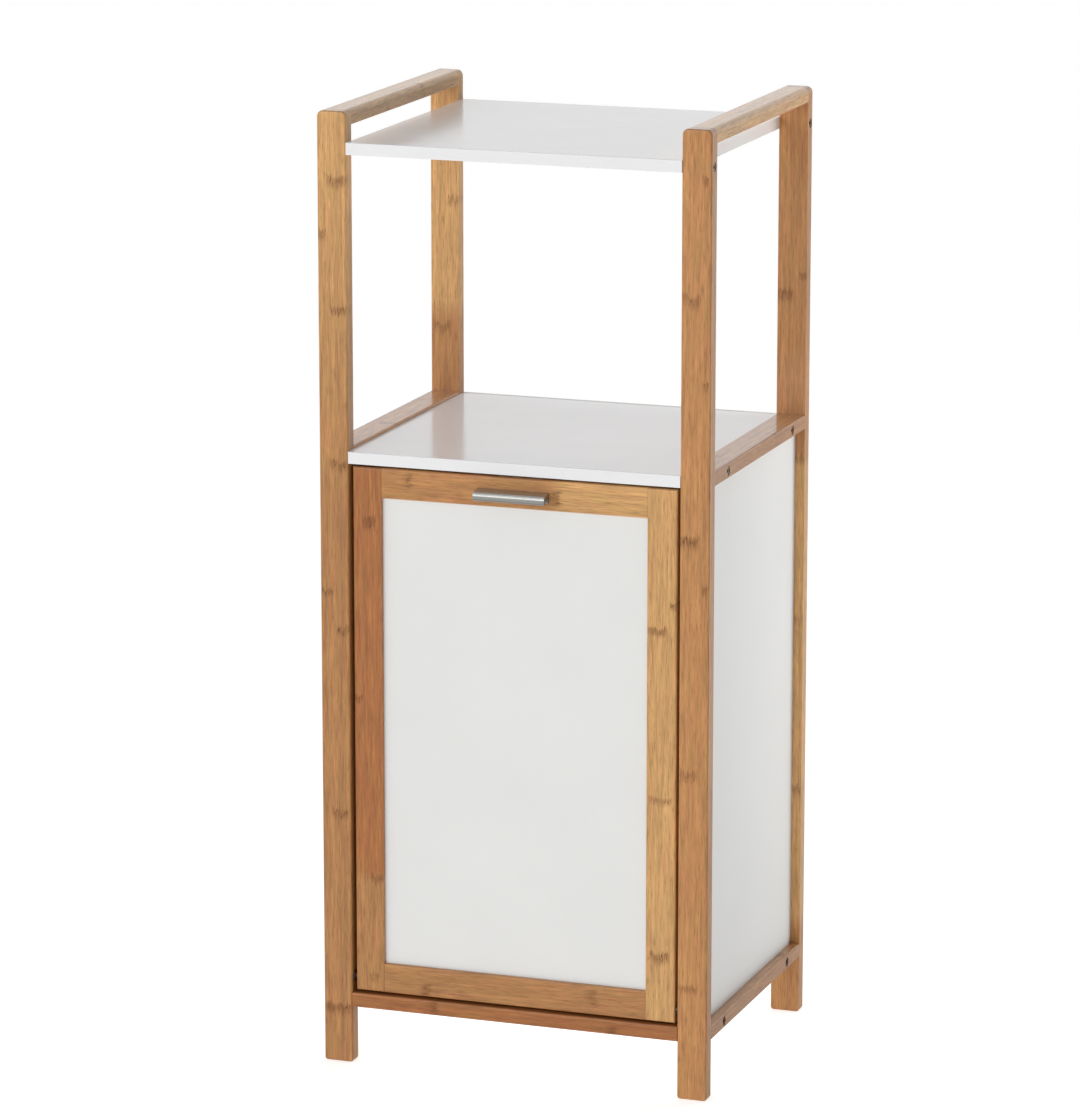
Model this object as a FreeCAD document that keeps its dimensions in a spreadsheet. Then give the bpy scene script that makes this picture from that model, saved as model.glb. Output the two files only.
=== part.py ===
import FreeCAD, Part
import os
import re
import Sketcher
from FreeCAD import Placement, Rotation, Vector

# Bamboo bathroom cabinet: two bamboo side frames carry a top shelf, a middle shelf and a base board.
# The compartment below the middle shelf has white side panels, a back panel and an inset door that
# tilts out about pins near its foot, with a laundry bag on a wire frame behind it.
# Frame: X to the right, Y to the back, Z up. The origin lies on the floor, in the middle of the whole
# object's footprint, door pull included.

# Driving sizes: lengths in millimetres, angles in degrees
SIZES = {
    # whole cabinet
    "width": 400,
    "depth": 325,
    "height": 955,
    "foot_height": 58,
    "cabinet_height": 625,
    "top_gap": 15,
    # bamboo bars of the side frames
    "bar_width": 30,
    "bar_thickness": 15,
    "bar_round": 2,
    "crown_round": 6,
    "foot_round": 3,
    # white boards and panels
    "board_thickness": 12,
    "board_round": 0.8,
    "side_panel_thickness": 8,
    "side_panel_inset": 12,
    "back_panel_thickness": 5,
    "back_panel_play": 0.4,
    "groove_depth": 4,
    "groove_side_play": 0.1,
    "groove_end_play": 0.4,
    # dowels
    "dowel_diameter": 6,
    "dowel_length": 22,
    "dowel_seat": 9,
    "dowel_inset": 6.5,
    "press_play": 0.05,
    "end_play": 0.5,
    "front_rail_dowel_spacing": 120,
    # socket-head screws of the side frames
    "frame_screw_diameter": 5,
    "frame_screw_grip": 34,
    "frame_screw_head_diameter": 9,
    "frame_screw_head_height": 3,
    "frame_screw_recess": 0.8,
    "frame_screw_play": 0.2,
    "frame_screw_socket": 4,
    "frame_screw_socket_depth": 2,
    "rail_screw_inset": 57.5,
    # small cross-head screws
    "small_screw_diameter": 3.5,
    "small_screw_head_diameter": 6.5,
    "small_screw_head_height": 2,
    "small_screw_cross": 3.6,
    "small_screw_cross_width": 1,
    "small_screw_cross_depth": 1.2,
    "small_screw_play": 0.05,
    "small_screw_head_play": 0.25,
    "back_screw_grip": 16,
    "back_screw_inset": 30,
    # door
    "door_side_gap": 3.5,
    "door_top_gap": 2.8,
    "door_bottom_gap": 2.5,
    "door_recess": 3,
    "door_thickness": 15,
    "door_bar_width": 30,
    "door_round": 2,
    "door_joint_round": 0.5,
    "door_groove_depth": 5,
    "door_panel_thickness": 6,
    "door_panel_recess": 3.5,
    "door_dowel_outset": 7,
    "door_dowel_inset": 5,
    # door pivot and its stop
    "pivot_rise": 13,
    "pivot_setback": 5.5,
    "pivot_diameter": 5,
    "pivot_seat": 14,
    "pivot_play": 0.05,
    "bush_diameter": 8,
    "bush_end_wall": 2,
    "bush_flange_diameter": 12,
    "bush_flange_thickness": 1.5,
    "tilt_angle": 28,
    "stop_length": 240,
    "stop_thickness": 15,
    "stop_height": 20,
    "stop_play": 0.3,
    # door pull
    "pull_length": 73,
    "pull_depth": 15,
    "pull_height": 10,
    "pull_drop": 12,
    "pull_fall": 2,
    "pull_wall": 2.5,
    "pull_flange": 3,
    "pull_round": 2,
    "pull_brow": 4,
    "pull_screw_spacing": 50,
    # magnetic catch
    "catch_width": 46,
    "catch_depth": 14,
    "catch_height": 12,
    "catch_screw_spacing": 37,
    "catch_screw_grip": 8,
    "catch_floor": 4,
    "catch_play": 0.3,
    "magnet_width": 26,
    "magnet_depth": 8,
    "magnet_height": 7,
    "magnet_play": 0.1,
    "strike_width": 30,
    "strike_thickness": 1,
    "strike_drop": 4,
    "strike_margin": 2,
    "strike_screw_margin": 3,
    "strike_screw_grip": 9,
    # wire frame of the laundry bag
    "wire_diameter": 5,
    "bag_frame_drop": 76.7,
    "bag_frame_reach": 200,
    "bag_frame_corner": 25,
    "bag_cross_setback": 14,
    "bag_plate_margin": 3.5,
    "bag_plate_width": 16,
    "bag_plate_height": 42,
    "bag_plate_thickness": 2,
    "bag_plate_screw_spacing": 28,
    "bag_plate_screw_grip": 10,
    # laundry bag
    "bag_floor_gap": 27.4,
    "bag_wall": 1.6,
    "bag_bottom_round": 14,
    "hem_play": 0.3,
}

# Sizes and places that follow from the driving ones
DERIVED = {
    "front_y": "-(depth - pull_depth + door_recess) / 2",
    "back_y": "front_y + depth",
    "left_x": "-width / 2",
    "inner_x": "left_x + bar_width",
    "inner_width": "width - 2 * bar_width",
    "rail_y": "front_y + bar_thickness",
    "rail_length": "depth - 2 * bar_thickness",
    "lower_rail_top": "foot_height + bar_thickness",
    "middle_rail_z": "cabinet_height - bar_thickness",
    "top_rail_z": "height - bar_thickness",
    "top_shelf_z": "top_rail_z - top_gap - board_thickness",
    "side_panel_recess": "bar_width - side_panel_inset - side_panel_thickness",
    "panel_tongue": "groove_depth - groove_end_play",
    "panel_slot": "side_panel_thickness + 2 * groove_side_play",
    "screw_level": "bar_thickness / 2",
    "head_bore": "frame_screw_head_diameter + 2 * frame_screw_play",
    "head_bore_depth": "frame_screw_head_height + frame_screw_recess",
    "shank_bore": "frame_screw_diameter + 2 * frame_screw_play",
    "board_bore_depth": "frame_screw_grip + end_play",
    "dowel_bore": "dowel_diameter + 2 * press_play",
    "dowel_seat_bore": "dowel_seat + end_play",
    "dowel_rail_bore": "dowel_length - dowel_seat + end_play",
    "small_bore": "small_screw_diameter + 2 * small_screw_play",
    "small_head_bore": "small_screw_head_diameter + 2 * small_screw_head_play",
    "middle_shelf_depth": "depth - back_panel_thickness",
    "base_depth": "depth - bar_thickness - back_panel_thickness",
    "back_panel_width": "inner_width - 2 * back_panel_play",
    "back_panel_height": "middle_rail_z + board_thickness - foot_height",
    "door_x": "inner_x + door_side_gap",
    "door_y": "front_y + door_recess",
    "door_back_y": "door_y + door_thickness",
    "door_z": "lower_rail_top + door_bottom_gap",
    "door_width": "inner_width - 2 * door_side_gap",
    "door_height": "middle_rail_z - door_top_gap - door_z",
    "door_rail_length": "door_width - 2 * door_bar_width",
    "door_tongue": "door_groove_depth - groove_end_play",
    "door_slot": "door_panel_thickness + 2 * groove_side_play",
    "door_slot_y": "door_panel_recess - groove_side_play",
    "pivot_y": "door_y + pivot_setback",
    "pivot_z": "door_z + pivot_rise",
    "bush_length": "side_panel_inset - bush_end_wall",
    "pivot_reach": "bush_length + door_side_gap + pivot_seat - end_play",
    "door_heel": "door_thickness - pivot_setback",
    "stop_y": "pivot_y + door_heel * cos(tilt_angle) + pivot_rise * sin(tilt_angle) + stop_play",
    "pull_z": "door_z + door_height - pull_drop - pull_height",
    "pull_screw_z": "pull_height / 2",
    "catch_y": "door_back_y + strike_thickness + catch_play",
    "catch_z": "middle_rail_z - catch_height",
    "strike_height": "door_bar_width - strike_drop - strike_margin",
    "strike_z": "door_z + door_height - strike_drop - strike_height",
    "strike_screw_rise": "door_groove_depth + strike_screw_margin - strike_margin",
    "bag_frame_z": "door_z + door_height - bag_frame_drop",
    "bag_plate_inset": "door_bar_width - door_groove_depth - bag_plate_margin",
    "bag_frame_width": "door_width - 2 * bag_plate_inset",
    "bag_back_y": "door_back_y + bag_frame_reach",
    "bag_cross_y": "door_back_y + bag_cross_setback",
    "bag_run": "bag_frame_width - 2 * bag_frame_corner",
    "bag_side_run": "bag_frame_reach - bag_cross_setback - 2 * bag_frame_corner",
    "bag_depth": "bag_frame_reach - bag_cross_setback",
    "hem_bore": "wire_diameter + 2 * hem_play",
    "hem_diameter": "hem_bore + 2 * bag_wall",
    "bag_mouth_drop": "hem_bore / 2 + hem_play",
    "bag_floor_z": "foot_height + board_thickness + stop_height + bag_floor_gap",
}

doc = FreeCAD.newDocument("bathroom_cabinet")
sheet = doc.addObject("Spreadsheet::Sheet", "Sizes")
for row, (alias, size) in enumerate(SIZES.items(), start=1):
    sheet.set(f"A{row}", alias)
    sheet.set(f"B{row}", str(size))
    sheet.setAlias(f"B{row}", alias)
doc.recompute()

# The origin plane square to each axis, and whether its normal runs along that axis
PLANES = {"x": ("YZ_Plane", True), "y": ("XZ_Plane", False), "z": ("XY_Plane", True)}

# Turns that lay a piece made along +Z along another direction
TURNS = {
    "+x": Rotation(Vector(0, 1, 0), 90),
    "+y": Rotation(Vector(1, 0, 0), -90),
    "-y": Rotation(Vector(1, 0, 0), 90),
    "+z": Rotation(),
}

# How much of an edge's direction lies along the axis that it is said to follow
ALONG_SHARE = 0.99

nodes = []


def bound(formula):
    """The formula with derived names worked out and each size led by its sheet."""
    def lead(match):
        name = match.group(0)
        if name in DERIVED:
            return f"({bound(DERIVED[name])})"
        return f"Sizes.{name}" if name in SIZES else name
    return re.sub(r"[a-z]\w*", lead, formula)


def value(formula):
    """What a formula comes to with the sheet's present sizes."""
    return float(sheet.evalExpression(bound(formula)))


def keep(piece):
    """Marks a document object as a sub-part that is handed on."""
    nodes.append(piece)
    return piece


def place(piece, at, turn=Rotation()):
    """Turns a piece and binds its position to three formulas."""
    piece.Placement = Placement(Vector(), turn)
    for axis, formula in zip("xyz", at):
        piece.setExpression(f"Placement.Base.{axis}", bound(formula))


def new_body(label, at, towards="+z"):
    body = doc.addObject("PartDesign::Body", label)
    place(body, at, TURNS[towards])
    return body


def sketch_across(body, axis, level="0"):
    """A sketch of the body square to one of its axes, at a level along that axis."""
    role, along = PLANES[axis]
    plane = next(item for item in body.Origin.OriginFeatures if item.Role == role)
    sketch = body.newObject("Sketcher::SketchObject", "Sketch")
    sketch.AttachmentSupport = [(plane, "")]
    sketch.MapMode = "FlatFace"
    sketch.setExpression("AttachmentOffset.Base.z", bound(level if along else f"-({level})"))
    return sketch


def pin_point(sketch, geometry, end, spot):
    """Binds a point of the sketch to two formulas, measured from the sketch's origin."""
    for kind, formula in zip(("DistanceX", "DistanceY"), spot):
        pair = Sketcher.Constraint(kind, -1, 1, geometry, end, value(formula))
        sketch.setExpression(f"Constraints[{sketch.addConstraint(pair)}]", bound(formula))


def draw_outline(sketch, spots):
    """A closed outline of straight lines through the given spots."""
    corners = [Vector(value(u), value(v), 0) for u, v in spots]
    count = len(corners)
    for index in range(count):
        sketch.addGeometry(Part.LineSegment(corners[index], corners[(index + 1) % count]), False)
    for index in range(count):
        sketch.addConstraint(Sketcher.Constraint("Coincident", index, 2, (index + 1) % count, 1))
        pin_point(sketch, index, 1, spots[index])


def draw_rectangle(sketch, low, size):
    """A rectangle from its lowest corner and its two sizes."""
    (u, v), (wide, high) = low, size
    far_u, far_v = f"{u} + {wide}", f"{v} + {high}"
    draw_outline(sketch, [(u, v), (far_u, v), (far_u, far_v), (u, far_v)])


def draw_circles(sketch, spots, diameter):
    """Circles of one diameter about the given spots."""
    for u, v in spots:
        middle = Vector(value(u), value(v), 0)
        circle = sketch.addGeometry(Part.Circle(middle, Vector(0, 0, 1), value(diameter) / 2), False)
        size = Sketcher.Constraint("Diameter", circle, value(diameter))
        sketch.setExpression(f"Constraints[{sketch.addConstraint(size)}]", bound(diameter))
        pin_point(sketch, circle, 3, (u, v))


def pad(body, sketch, length, towards):
    """Adds the sketch's outline, drawn out along a direction."""
    feature = body.newObject("PartDesign::Pad", "Pad")
    feature.Profile = sketch
    feature.Reversed = (towards[0] == "+") != PLANES[towards[1]][1]
    feature.setExpression("Length", bound(length))
    doc.recompute()
    return feature


def pocket(body, sketch, towards, depth=None):
    """Cuts the sketch's outline out of the body along a direction, right through if no depth is given."""
    before = body.Shape.Volume
    feature = body.newObject("PartDesign::Pocket", "Pocket")
    feature.Profile = sketch
    feature.Reversed = (towards[0] == "+") == PLANES[towards[1]][1]
    if depth is None:
        feature.Type = "ThroughAll"
    else:
        feature.setExpression("Length", bound(depth))
    doc.recompute()
    if body.Shape.Volume >= before:
        raise RuntimeError(f"a cut in {body.Label} removes nothing")


def drill(body, towards, level, spots, diameter, depth=None):
    """Round holes from a level of the body along a direction."""
    sketch = sketch_across(body, towards[1], level)
    draw_circles(sketch, spots, diameter)
    pocket(body, sketch, towards, depth)


def slot(body, towards, level, low, size, depth):
    """A rectangular groove from a level of the body along a direction."""
    sketch = sketch_across(body, towards[1], level)
    draw_rectangle(sketch, low, size)
    pocket(body, sketch, towards, depth)


def block(label, at, size):
    """A body that is one rectangular block from its lowest corner."""
    body = new_body(label, at)
    sketch = sketch_across(body, "z")
    draw_rectangle(sketch, ("0", "0"), size[:2])
    pad(body, sketch, size[2], "+z")
    return keep(body)


def lies_on(edge, box, sides):
    """Whether an edge lies on all the named sides of a box, such as -x and +z."""
    middle = edge.CenterOfMass
    for side in sides.split():
        axis = side[1]
        limit = getattr(box, f"{axis.upper()}{'Max' if side[0] == '+' else 'Min'}")
        if abs(getattr(middle, axis) - limit) > Part.Precision.confusion() * box.DiagonalLength:
            return False
    return True


def fillet(body, radius, chosen):
    """Rounds the edges of the body that a test chooses."""
    base = body.Tip
    box = base.Shape.BoundBox
    names = [f"Edge{number}" for number, edge in enumerate(base.Shape.Edges, start=1) if chosen(edge, box)]
    feature = body.newObject("PartDesign::Fillet", "Fillet")
    feature.Base = (base, names)
    feature.setExpression("Radius", bound(radius))
    doc.recompute()


def round_edges(body, radius, along, *corners):
    """Rounds the straight edges along an axis, all of them or those at the named corners of the box."""
    def chosen(edge, box):
        straight = isinstance(edge.Curve, Part.Line)
        if not straight or abs(getattr(edge.tangentAt(edge.FirstParameter), along)) < ALONG_SHARE:
            return False
        return not corners or any(lies_on(edge, box, corner) for corner in corners)
    fillet(body, radius, chosen)


def round_rim(body, radius, side, *spared):
    """Rounds the rim of one side of the body, but for its edges on the spared sides."""
    def chosen(edge, box):
        return lies_on(edge, box, side) and not any(lies_on(edge, box, spare) for spare in spared)
    fillet(body, radius, chosen)


def mirror(source, label):
    """The twin of a left-hand piece on the right-hand side."""
    twin = doc.addObject("Part::Mirroring", label)
    twin.Source = source
    twin.Normal = Vector(1, 0, 0)
    return twin


def group(label, pieces):
    """Several like solids handed on as one sub-part."""
    compound = doc.addObject("Part::Compound", label)
    compound.Links = pieces
    return keep(compound)


def both_sides(label, pieces):
    """A group of left-hand pieces and their twins on the right."""
    twins = [mirror(piece, f"{piece.Label}_twin") for piece in pieces]
    return group(label, pieces + twins)


def rod(label, at, towards, diameter, length):
    """A plain round rod along a direction."""
    cylinder = doc.addObject("Part::Cylinder", label)
    cylinder.setExpression("Radius", bound(f"({diameter}) / 2"))
    cylinder.setExpression("Height", bound(length))
    place(cylinder, at, TURNS[towards])
    return cylinder


def screw(label, at, towards, sizes, grip):
    """A screw whose head face lies at a place, with its shank along a direction and a driver socket."""
    diameter, head_diameter, head_height, socket, socket_depth = sizes
    body = new_body(label, at, towards)
    shank = sketch_across(body, "z")
    draw_circles(shank, [("0", "0")], diameter)
    pad(body, shank, f"{head_height} + {grip}", "+z")
    head = sketch_across(body, "z")
    draw_circles(head, [("0", "0")], head_diameter)
    pad(body, head, head_height, "+z")
    recess = sketch_across(body, "z")
    draw_outline(recess, socket)
    pocket(body, recess, "+z", socket_depth)
    return body


HEX_REACH = "frame_screw_socket / sqrt(3)"
HEX_SOCKET = [(f"{HEX_REACH} * cos({turn})", f"{HEX_REACH} * sin({turn})") for turn in range(0, 360, 60)]
FRAME_SCREW = ("frame_screw_diameter", "frame_screw_head_diameter", "frame_screw_head_height",
               HEX_SOCKET, "frame_screw_socket_depth")
ARM, HALF = "small_screw_cross / 2", "small_screw_cross_width / 2"
CROSS_SOCKET = [
    (ARM, f"-{HALF}"), (ARM, HALF), (HALF, HALF), (HALF, ARM), (f"-{HALF}", ARM), (f"-{HALF}", HALF),
    (f"-{ARM}", HALF), (f"-{ARM}", f"-{HALF}"), (f"-{HALF}", f"-{HALF}"), (f"-{HALF}", f"-{ARM}"),
    (HALF, f"-{ARM}"), (HALF, f"-{HALF}"),
]
SMALL_SCREW = ("small_screw_diameter", "small_screw_head_diameter", "small_screw_head_height",
               CROSS_SOCKET, "small_screw_cross_depth")

# Heights of the rails' axes, and the dowels' places across a bar
RAIL_LEVELS = [f"{low} + bar_thickness / 2" for low in ("foot_height", "middle_rail_z", "top_rail_z")]
DOWEL_PLACES = ["dowel_inset", "bar_width - dowel_inset"]


def leg(label, y, is_front):
    """A left leg, with dowel holes and the panel's groove on the face towards the other leg."""
    body = block(label, ("left_x", y, "0"), ("bar_width", "bar_thickness", "height"))
    outside = "-y" if is_front else "+y"
    round_edges(body, "crown_round", "y", "-x +z", "+x +z")
    round_edges(body, "foot_round", "y", "-x -z", "+x -z")
    round_rim(body, "bar_round", outside)
    inside, level = ("-y", "bar_thickness") if is_front else ("+y", "0")
    spots = [(across, up) for up in RAIL_LEVELS for across in DOWEL_PLACES]
    drill(body, inside, level, spots, "dowel_bore", "dowel_seat_bore")
    slot(body, inside, level, ("side_panel_recess - groove_side_play", "lower_rail_top - groove_depth"),
         ("panel_slot", "middle_rail_z - lower_rail_top + 2 * groove_depth"), "groove_depth")
    screw_spot = [("bar_thickness / 2", "top_shelf_z + board_thickness / 2")]
    drill(body, "+x", "0", screw_spot, "shank_bore")
    drill(body, "+x", "0", screw_spot, "head_bore", "head_bore_depth")
    if is_front:
        drill(body, "-x", "bar_width", [("pivot_y - front_y", "pivot_z")],
              "bush_diameter + 2 * press_play", "bush_length + end_play")
    return body


def rail(label, z):
    """A left rail between the legs, with dowel holes in its ends."""
    body = block(label, ("left_x", "rail_y", z), ("bar_width", "rail_length", "bar_thickness"))
    round_edges(body, "bar_round", "y", "-x -z", "+x -z")
    upper_round = "crown_round" if label == "left_top_rail" else "bar_round"
    round_edges(body, upper_round, "y", "-x +z", "+x +z")
    spots = [(across, "bar_thickness / 2") for across in DOWEL_PLACES]
    drill(body, "+y", "0", spots, "dowel_bore", "dowel_rail_bore")
    drill(body, "-y", "rail_length", spots, "dowel_bore", "dowel_rail_bore")
    return body


def fit_rail(body, towards, level):
    """The panel's groove and the two screw holes of a middle or lower rail."""
    slot(body, towards, level, ("side_panel_recess - groove_side_play", "0"),
         ("panel_slot", "rail_length"), "groove_depth")
    first = "rail_screw_inset - bar_thickness"
    spots = [(first, "screw_level"), (f"rail_length - ({first})", "screw_level")]
    drill(body, "+x", "0", spots, "shank_bore")
    drill(body, "+x", "0", spots, "head_bore", "head_bore_depth")


def board(label, y, z, board_depth):
    """A white board between the side frames with its long edges eased."""
    body = block(label, ("inner_x", y, z), ("inner_width", board_depth, "board_thickness"))
    round_edges(body, "board_round", "x", "-y -z", "-y +z", "+y -z", "+y +z")
    return body


def bore_ends(body, spots):
    """Screw holes in both ends of a board."""
    drill(body, "+x", "0", spots, "frame_screw_diameter + 2 * press_play", "board_bore_depth")
    drill(body, "-x", "inner_width", spots, "frame_screw_diameter + 2 * press_play", "board_bore_depth")


def side_frames():
    """Legs, rails, side panels and dowels of both side frames."""
    left = [
        leg("left_front_leg", "front_y", True),
        leg("left_rear_leg", "back_y - bar_thickness", False),
        rail("left_lower_rail", "foot_height"),
        rail("left_middle_rail", "middle_rail_z"),
        rail("left_top_rail", "top_rail_z"),
    ]
    fit_rail(left[2], "-z", "bar_thickness")
    fit_rail(left[3], "+z", "0")
    left.append(block(
        "left_side_panel",
        ("left_x + side_panel_recess", "rail_y - panel_tongue", "lower_rail_top - panel_tongue"),
        ("side_panel_thickness", "rail_length + 2 * panel_tongue",
         "middle_rail_z - lower_rail_top + 2 * panel_tongue")))
    for piece in left:
        keep(mirror(piece, piece.Label.replace("left", "right")))
    starts = ("rail_y - dowel_seat", "back_y - bar_thickness + dowel_seat - dowel_length")
    left_dowels = group("left_frame_dowels", [
        rod("dowel", (f"left_x + {across}", start, up), "+y", "dowel_diameter", "dowel_length")
        for up in RAIL_LEVELS for across in DOWEL_PLACES for start in starts])
    keep(mirror(left_dowels, "right_frame_dowels"))


def frame_screws(label, y_places, z):
    """Screws through both side frames into the ends of a board."""
    pieces = [screw(f"{label}_{side}", ("left_x + frame_screw_recess", y, z), "+x", FRAME_SCREW,
                    "bar_width - head_bore_depth + frame_screw_grip")
              for side, y in zip(("front", "rear"), y_places)]
    both_sides(label, pieces)


def shelves():
    """Top shelf and middle shelf with the screws that hold them."""
    top = board("top_shelf", "front_y", "top_shelf_z", "depth")
    bore_ends(top, [("bar_thickness / 2", "board_thickness / 2"),
                    ("depth - bar_thickness / 2", "board_thickness / 2")])
    frame_screws("top_shelf_screws", ("front_y + bar_thickness / 2", "back_y - bar_thickness / 2"),
                 "top_shelf_z + board_thickness / 2")
    middle = board("middle_shelf", "front_y", "middle_rail_z", "middle_shelf_depth")
    bore_ends(middle, [("rail_screw_inset", "screw_level"), ("depth - rail_screw_inset", "screw_level")])
    drill_back_edge(middle, "middle_shelf_depth")
    catch_v = "catch_y - front_y + catch_depth / 2"
    spots = [(f"inner_width / 2 {sign} catch_screw_spacing / 2", catch_v) for sign in "-+"]
    drill(middle, "+z", "0", spots, "small_bore", "catch_screw_grip + end_play")
    frame_screws("middle_shelf_screws", ("front_y + rail_screw_inset", "back_y - rail_screw_inset"),
                 "middle_rail_z + screw_level")


def back_screw_places():
    """Places of the back panel's screws across it, from the left frame's inner face."""
    return ["back_screw_inset", "inner_width / 2", "inner_width - back_screw_inset"]


def drill_back_edge(body, board_depth):
    """Pilot holes for the back panel's screws in the rear edge of a board."""
    spots = [(across, "board_thickness / 2") for across in back_screw_places()]
    drill(body, "-y", board_depth, spots, "small_bore", "back_screw_grip")


def base():
    """Base board, the front lower rail on its front edge, the door's stop and the back panel."""
    floor = board("base_board", "rail_y", "foot_height", "base_depth")
    bore_ends(floor, [("rail_screw_inset - bar_thickness", "screw_level"),
                      ("depth - rail_screw_inset - bar_thickness", "screw_level")])
    drill_back_edge(floor, "base_depth")
    across = [f"inner_width / 2 + {step} * front_rail_dowel_spacing" for step in (-1, 0, 1)]
    spots = [(place_x, "board_thickness / 2") for place_x in across]
    drill(floor, "+y", "0", spots, "dowel_bore", "dowel_rail_bore")
    front = block("front_lower_rail", ("inner_x", "front_y", "foot_height"),
                  ("inner_width", "bar_thickness", "bar_thickness"))
    round_edges(front, "bar_round", "x", "-y -z", "-y +z")
    drill(front, "-y", "bar_thickness", spots, "dowel_bore", "dowel_seat_bore")
    group("front_rail_dowels", [
        rod("dowel", (f"inner_x + {place_x}", "rail_y - dowel_seat", "foot_height + board_thickness / 2"),
            "+y", "dowel_diameter", "dowel_length") for place_x in across])
    frame_screws("base_screws", ("front_y + rail_screw_inset", "back_y - rail_screw_inset"),
                 "foot_height + screw_level")
    stop = block("door_stop_batten", ("-stop_length / 2", "stop_y", "foot_height + board_thickness"),
                 ("stop_length", "stop_thickness", "stop_height"))
    round_edges(stop, "bar_round", "x", "-y +z", "+y +z")
    back_panel()


def back_panel():
    """Back panel over the rear edges of the base board and the middle shelf, with its screws."""
    panel_at = ("inner_x + back_panel_play", "back_y - back_panel_thickness", "foot_height")
    panel = block("back_panel", panel_at, ("back_panel_width", "back_panel_thickness", "back_panel_height"))
    levels = ["board_thickness / 2", "back_panel_height - board_thickness / 2"]
    spots = [(f"{across} - back_panel_play", up) for up in levels for across in back_screw_places()]
    drill(panel, "-y", "back_panel_thickness", spots, "small_bore")
    drill(panel, "-y", "back_panel_thickness", spots, "small_head_bore", "small_screw_head_height")
    group("back_panel_screws", [
        screw("back_screw", (f"inner_x + {across}", "back_y", f"foot_height + {up}"), "-y", SMALL_SCREW,
              "back_panel_thickness - small_screw_head_height + back_screw_grip - end_play")
        for up in levels for across in back_screw_places()])


def door_frame():
    """Stiles, rails, panel and dowels of the door."""
    left = block("door_left_stile", ("door_x", "door_y", "door_z"),
                 ("door_bar_width", "door_thickness", "door_height"))
    round_rim(left, "door_round", "-y", "+x")
    round_edges(left, "door_joint_round", "z", "+x -y")
    slot(left, "-x", "door_bar_width", ("door_slot_y", "door_bar_width - door_groove_depth"),
         ("door_slot", "door_height - 2 * (door_bar_width - door_groove_depth)"), "door_groove_depth")
    ups = ["door_dowel_outset", "door_bar_width - door_groove_depth - door_dowel_inset"]
    levels = ups + [f"door_height - ({up})" for up in ups]
    dowel_spots = [("door_thickness / 2", up) for up in levels]
    drill(left, "-x", "door_bar_width", dowel_spots, "dowel_bore", "dowel_seat_bore")
    drill(left, "+x", "0", [("pivot_setback", "pivot_rise")], "pivot_diameter + 2 * press_play",
          "pivot_seat + end_play")
    plate_up = "door_height - bag_frame_drop"
    plate_spots = [("bag_plate_inset", f"{plate_up} {sign} bag_plate_screw_spacing / 2") for sign in "-+"]
    drill(left, "-y", "door_thickness", plate_spots, "small_bore", "bag_plate_screw_grip + end_play")
    keep(mirror(left, "door_right_stile"))
    rail_x = "door_x + door_bar_width"
    rail_size = ("door_rail_length", "door_thickness", "door_bar_width")
    bottom = block("door_bottom_rail", (rail_x, "door_y", "door_z"), rail_size)
    top = block("door_top_rail", (rail_x, "door_y", "door_z + door_height - door_bar_width"), rail_size)
    top_ups = [f"door_bar_width - ({up})" for up in ups]
    for piece, towards, level, places in ((bottom, "-z", "door_bar_width", ups), (top, "+z", "0", top_ups)):
        round_edges(piece, "door_round", "x", "-y -z", "-y +z")
        slot(piece, towards, level, ("0", "door_slot_y"),
             ("door_rail_length", "door_slot"), "door_groove_depth")
        spots = [("door_thickness / 2", up) for up in places]
        drill(piece, "+x", "0", spots, "dowel_bore", "dowel_rail_bore")
        drill(piece, "-x", "door_rail_length", spots, "dowel_bore", "dowel_rail_bore")
    fit_top_rail(top)
    covered = "door_bar_width - door_tongue"
    block("door_panel", (f"door_x + {covered}", "door_y + door_panel_recess", f"door_z + {covered}"),
          (f"door_width - 2 * ({covered})", "door_panel_thickness", f"door_height - 2 * ({covered})"))
    both_sides("door_dowels", [
        rod("dowel", (f"{rail_x} - dowel_seat", "door_y + door_thickness / 2", f"door_z + {up}"),
            "+x", "dowel_diameter", "dowel_length") for up in levels])


def fit_top_rail(top):
    """Holes of the pull's screws and of the strike plate's screw in the door's top rail."""
    half = "pull_screw_spacing / 2"
    up = "door_bar_width - pull_drop - pull_height + pull_screw_z"
    spots = [(f"door_rail_length / 2 {sign} {half}", up) for sign in "-+"]
    drill(top, "-y", "door_thickness", spots, "small_bore")
    drill(top, "-y", "door_thickness", spots, "small_head_bore", "small_screw_head_height")
    strike_spot = [("door_rail_length / 2", "strike_margin + strike_screw_rise")]
    drill(top, "-y", "door_thickness", strike_spot, "small_bore", "strike_screw_grip + end_play")


def door_pull():
    """Aluminium pull: a flange on the door, a web that falls to the front and a hanging lip."""
    pull = new_body("door_pull", ("-pull_length / 2", "door_y", "pull_z"))
    section = sketch_across(pull, "x")
    lip_back, web_end = "pull_wall - pull_depth", "pull_height - pull_wall"
    draw_outline(section, [
        ("0", "0"), ("0", "pull_height"),
        ("-pull_depth", "pull_height - pull_fall"), ("-pull_depth", "0"),
        (lip_back, "0"), (lip_back, f"{web_end} - pull_fall"),
        ("-pull_flange", f"{web_end} - pull_fall / 2"), ("-pull_flange", "0")])
    pad(pull, section, "pull_length", "+x")
    round_rim(pull, "pull_brow", "-y", "-x", "+x", "-z")
    round_edges(pull, "pull_round", "x", "-y -z")
    half = "pull_screw_spacing / 2"
    spots = [(f"pull_length / 2 {sign} {half}", "pull_screw_z") for sign in "-+"]
    drill(pull, "-y", "0", spots, "small_bore", "pull_flange")
    keep(pull)
    group("pull_screws", [
        screw("pull_screw", (f"{sign}{half}", "door_back_y", "pull_z + pull_screw_z"), "-y", SMALL_SCREW,
              "door_thickness - small_screw_head_height + pull_flange") for sign in "-+"])


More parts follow.
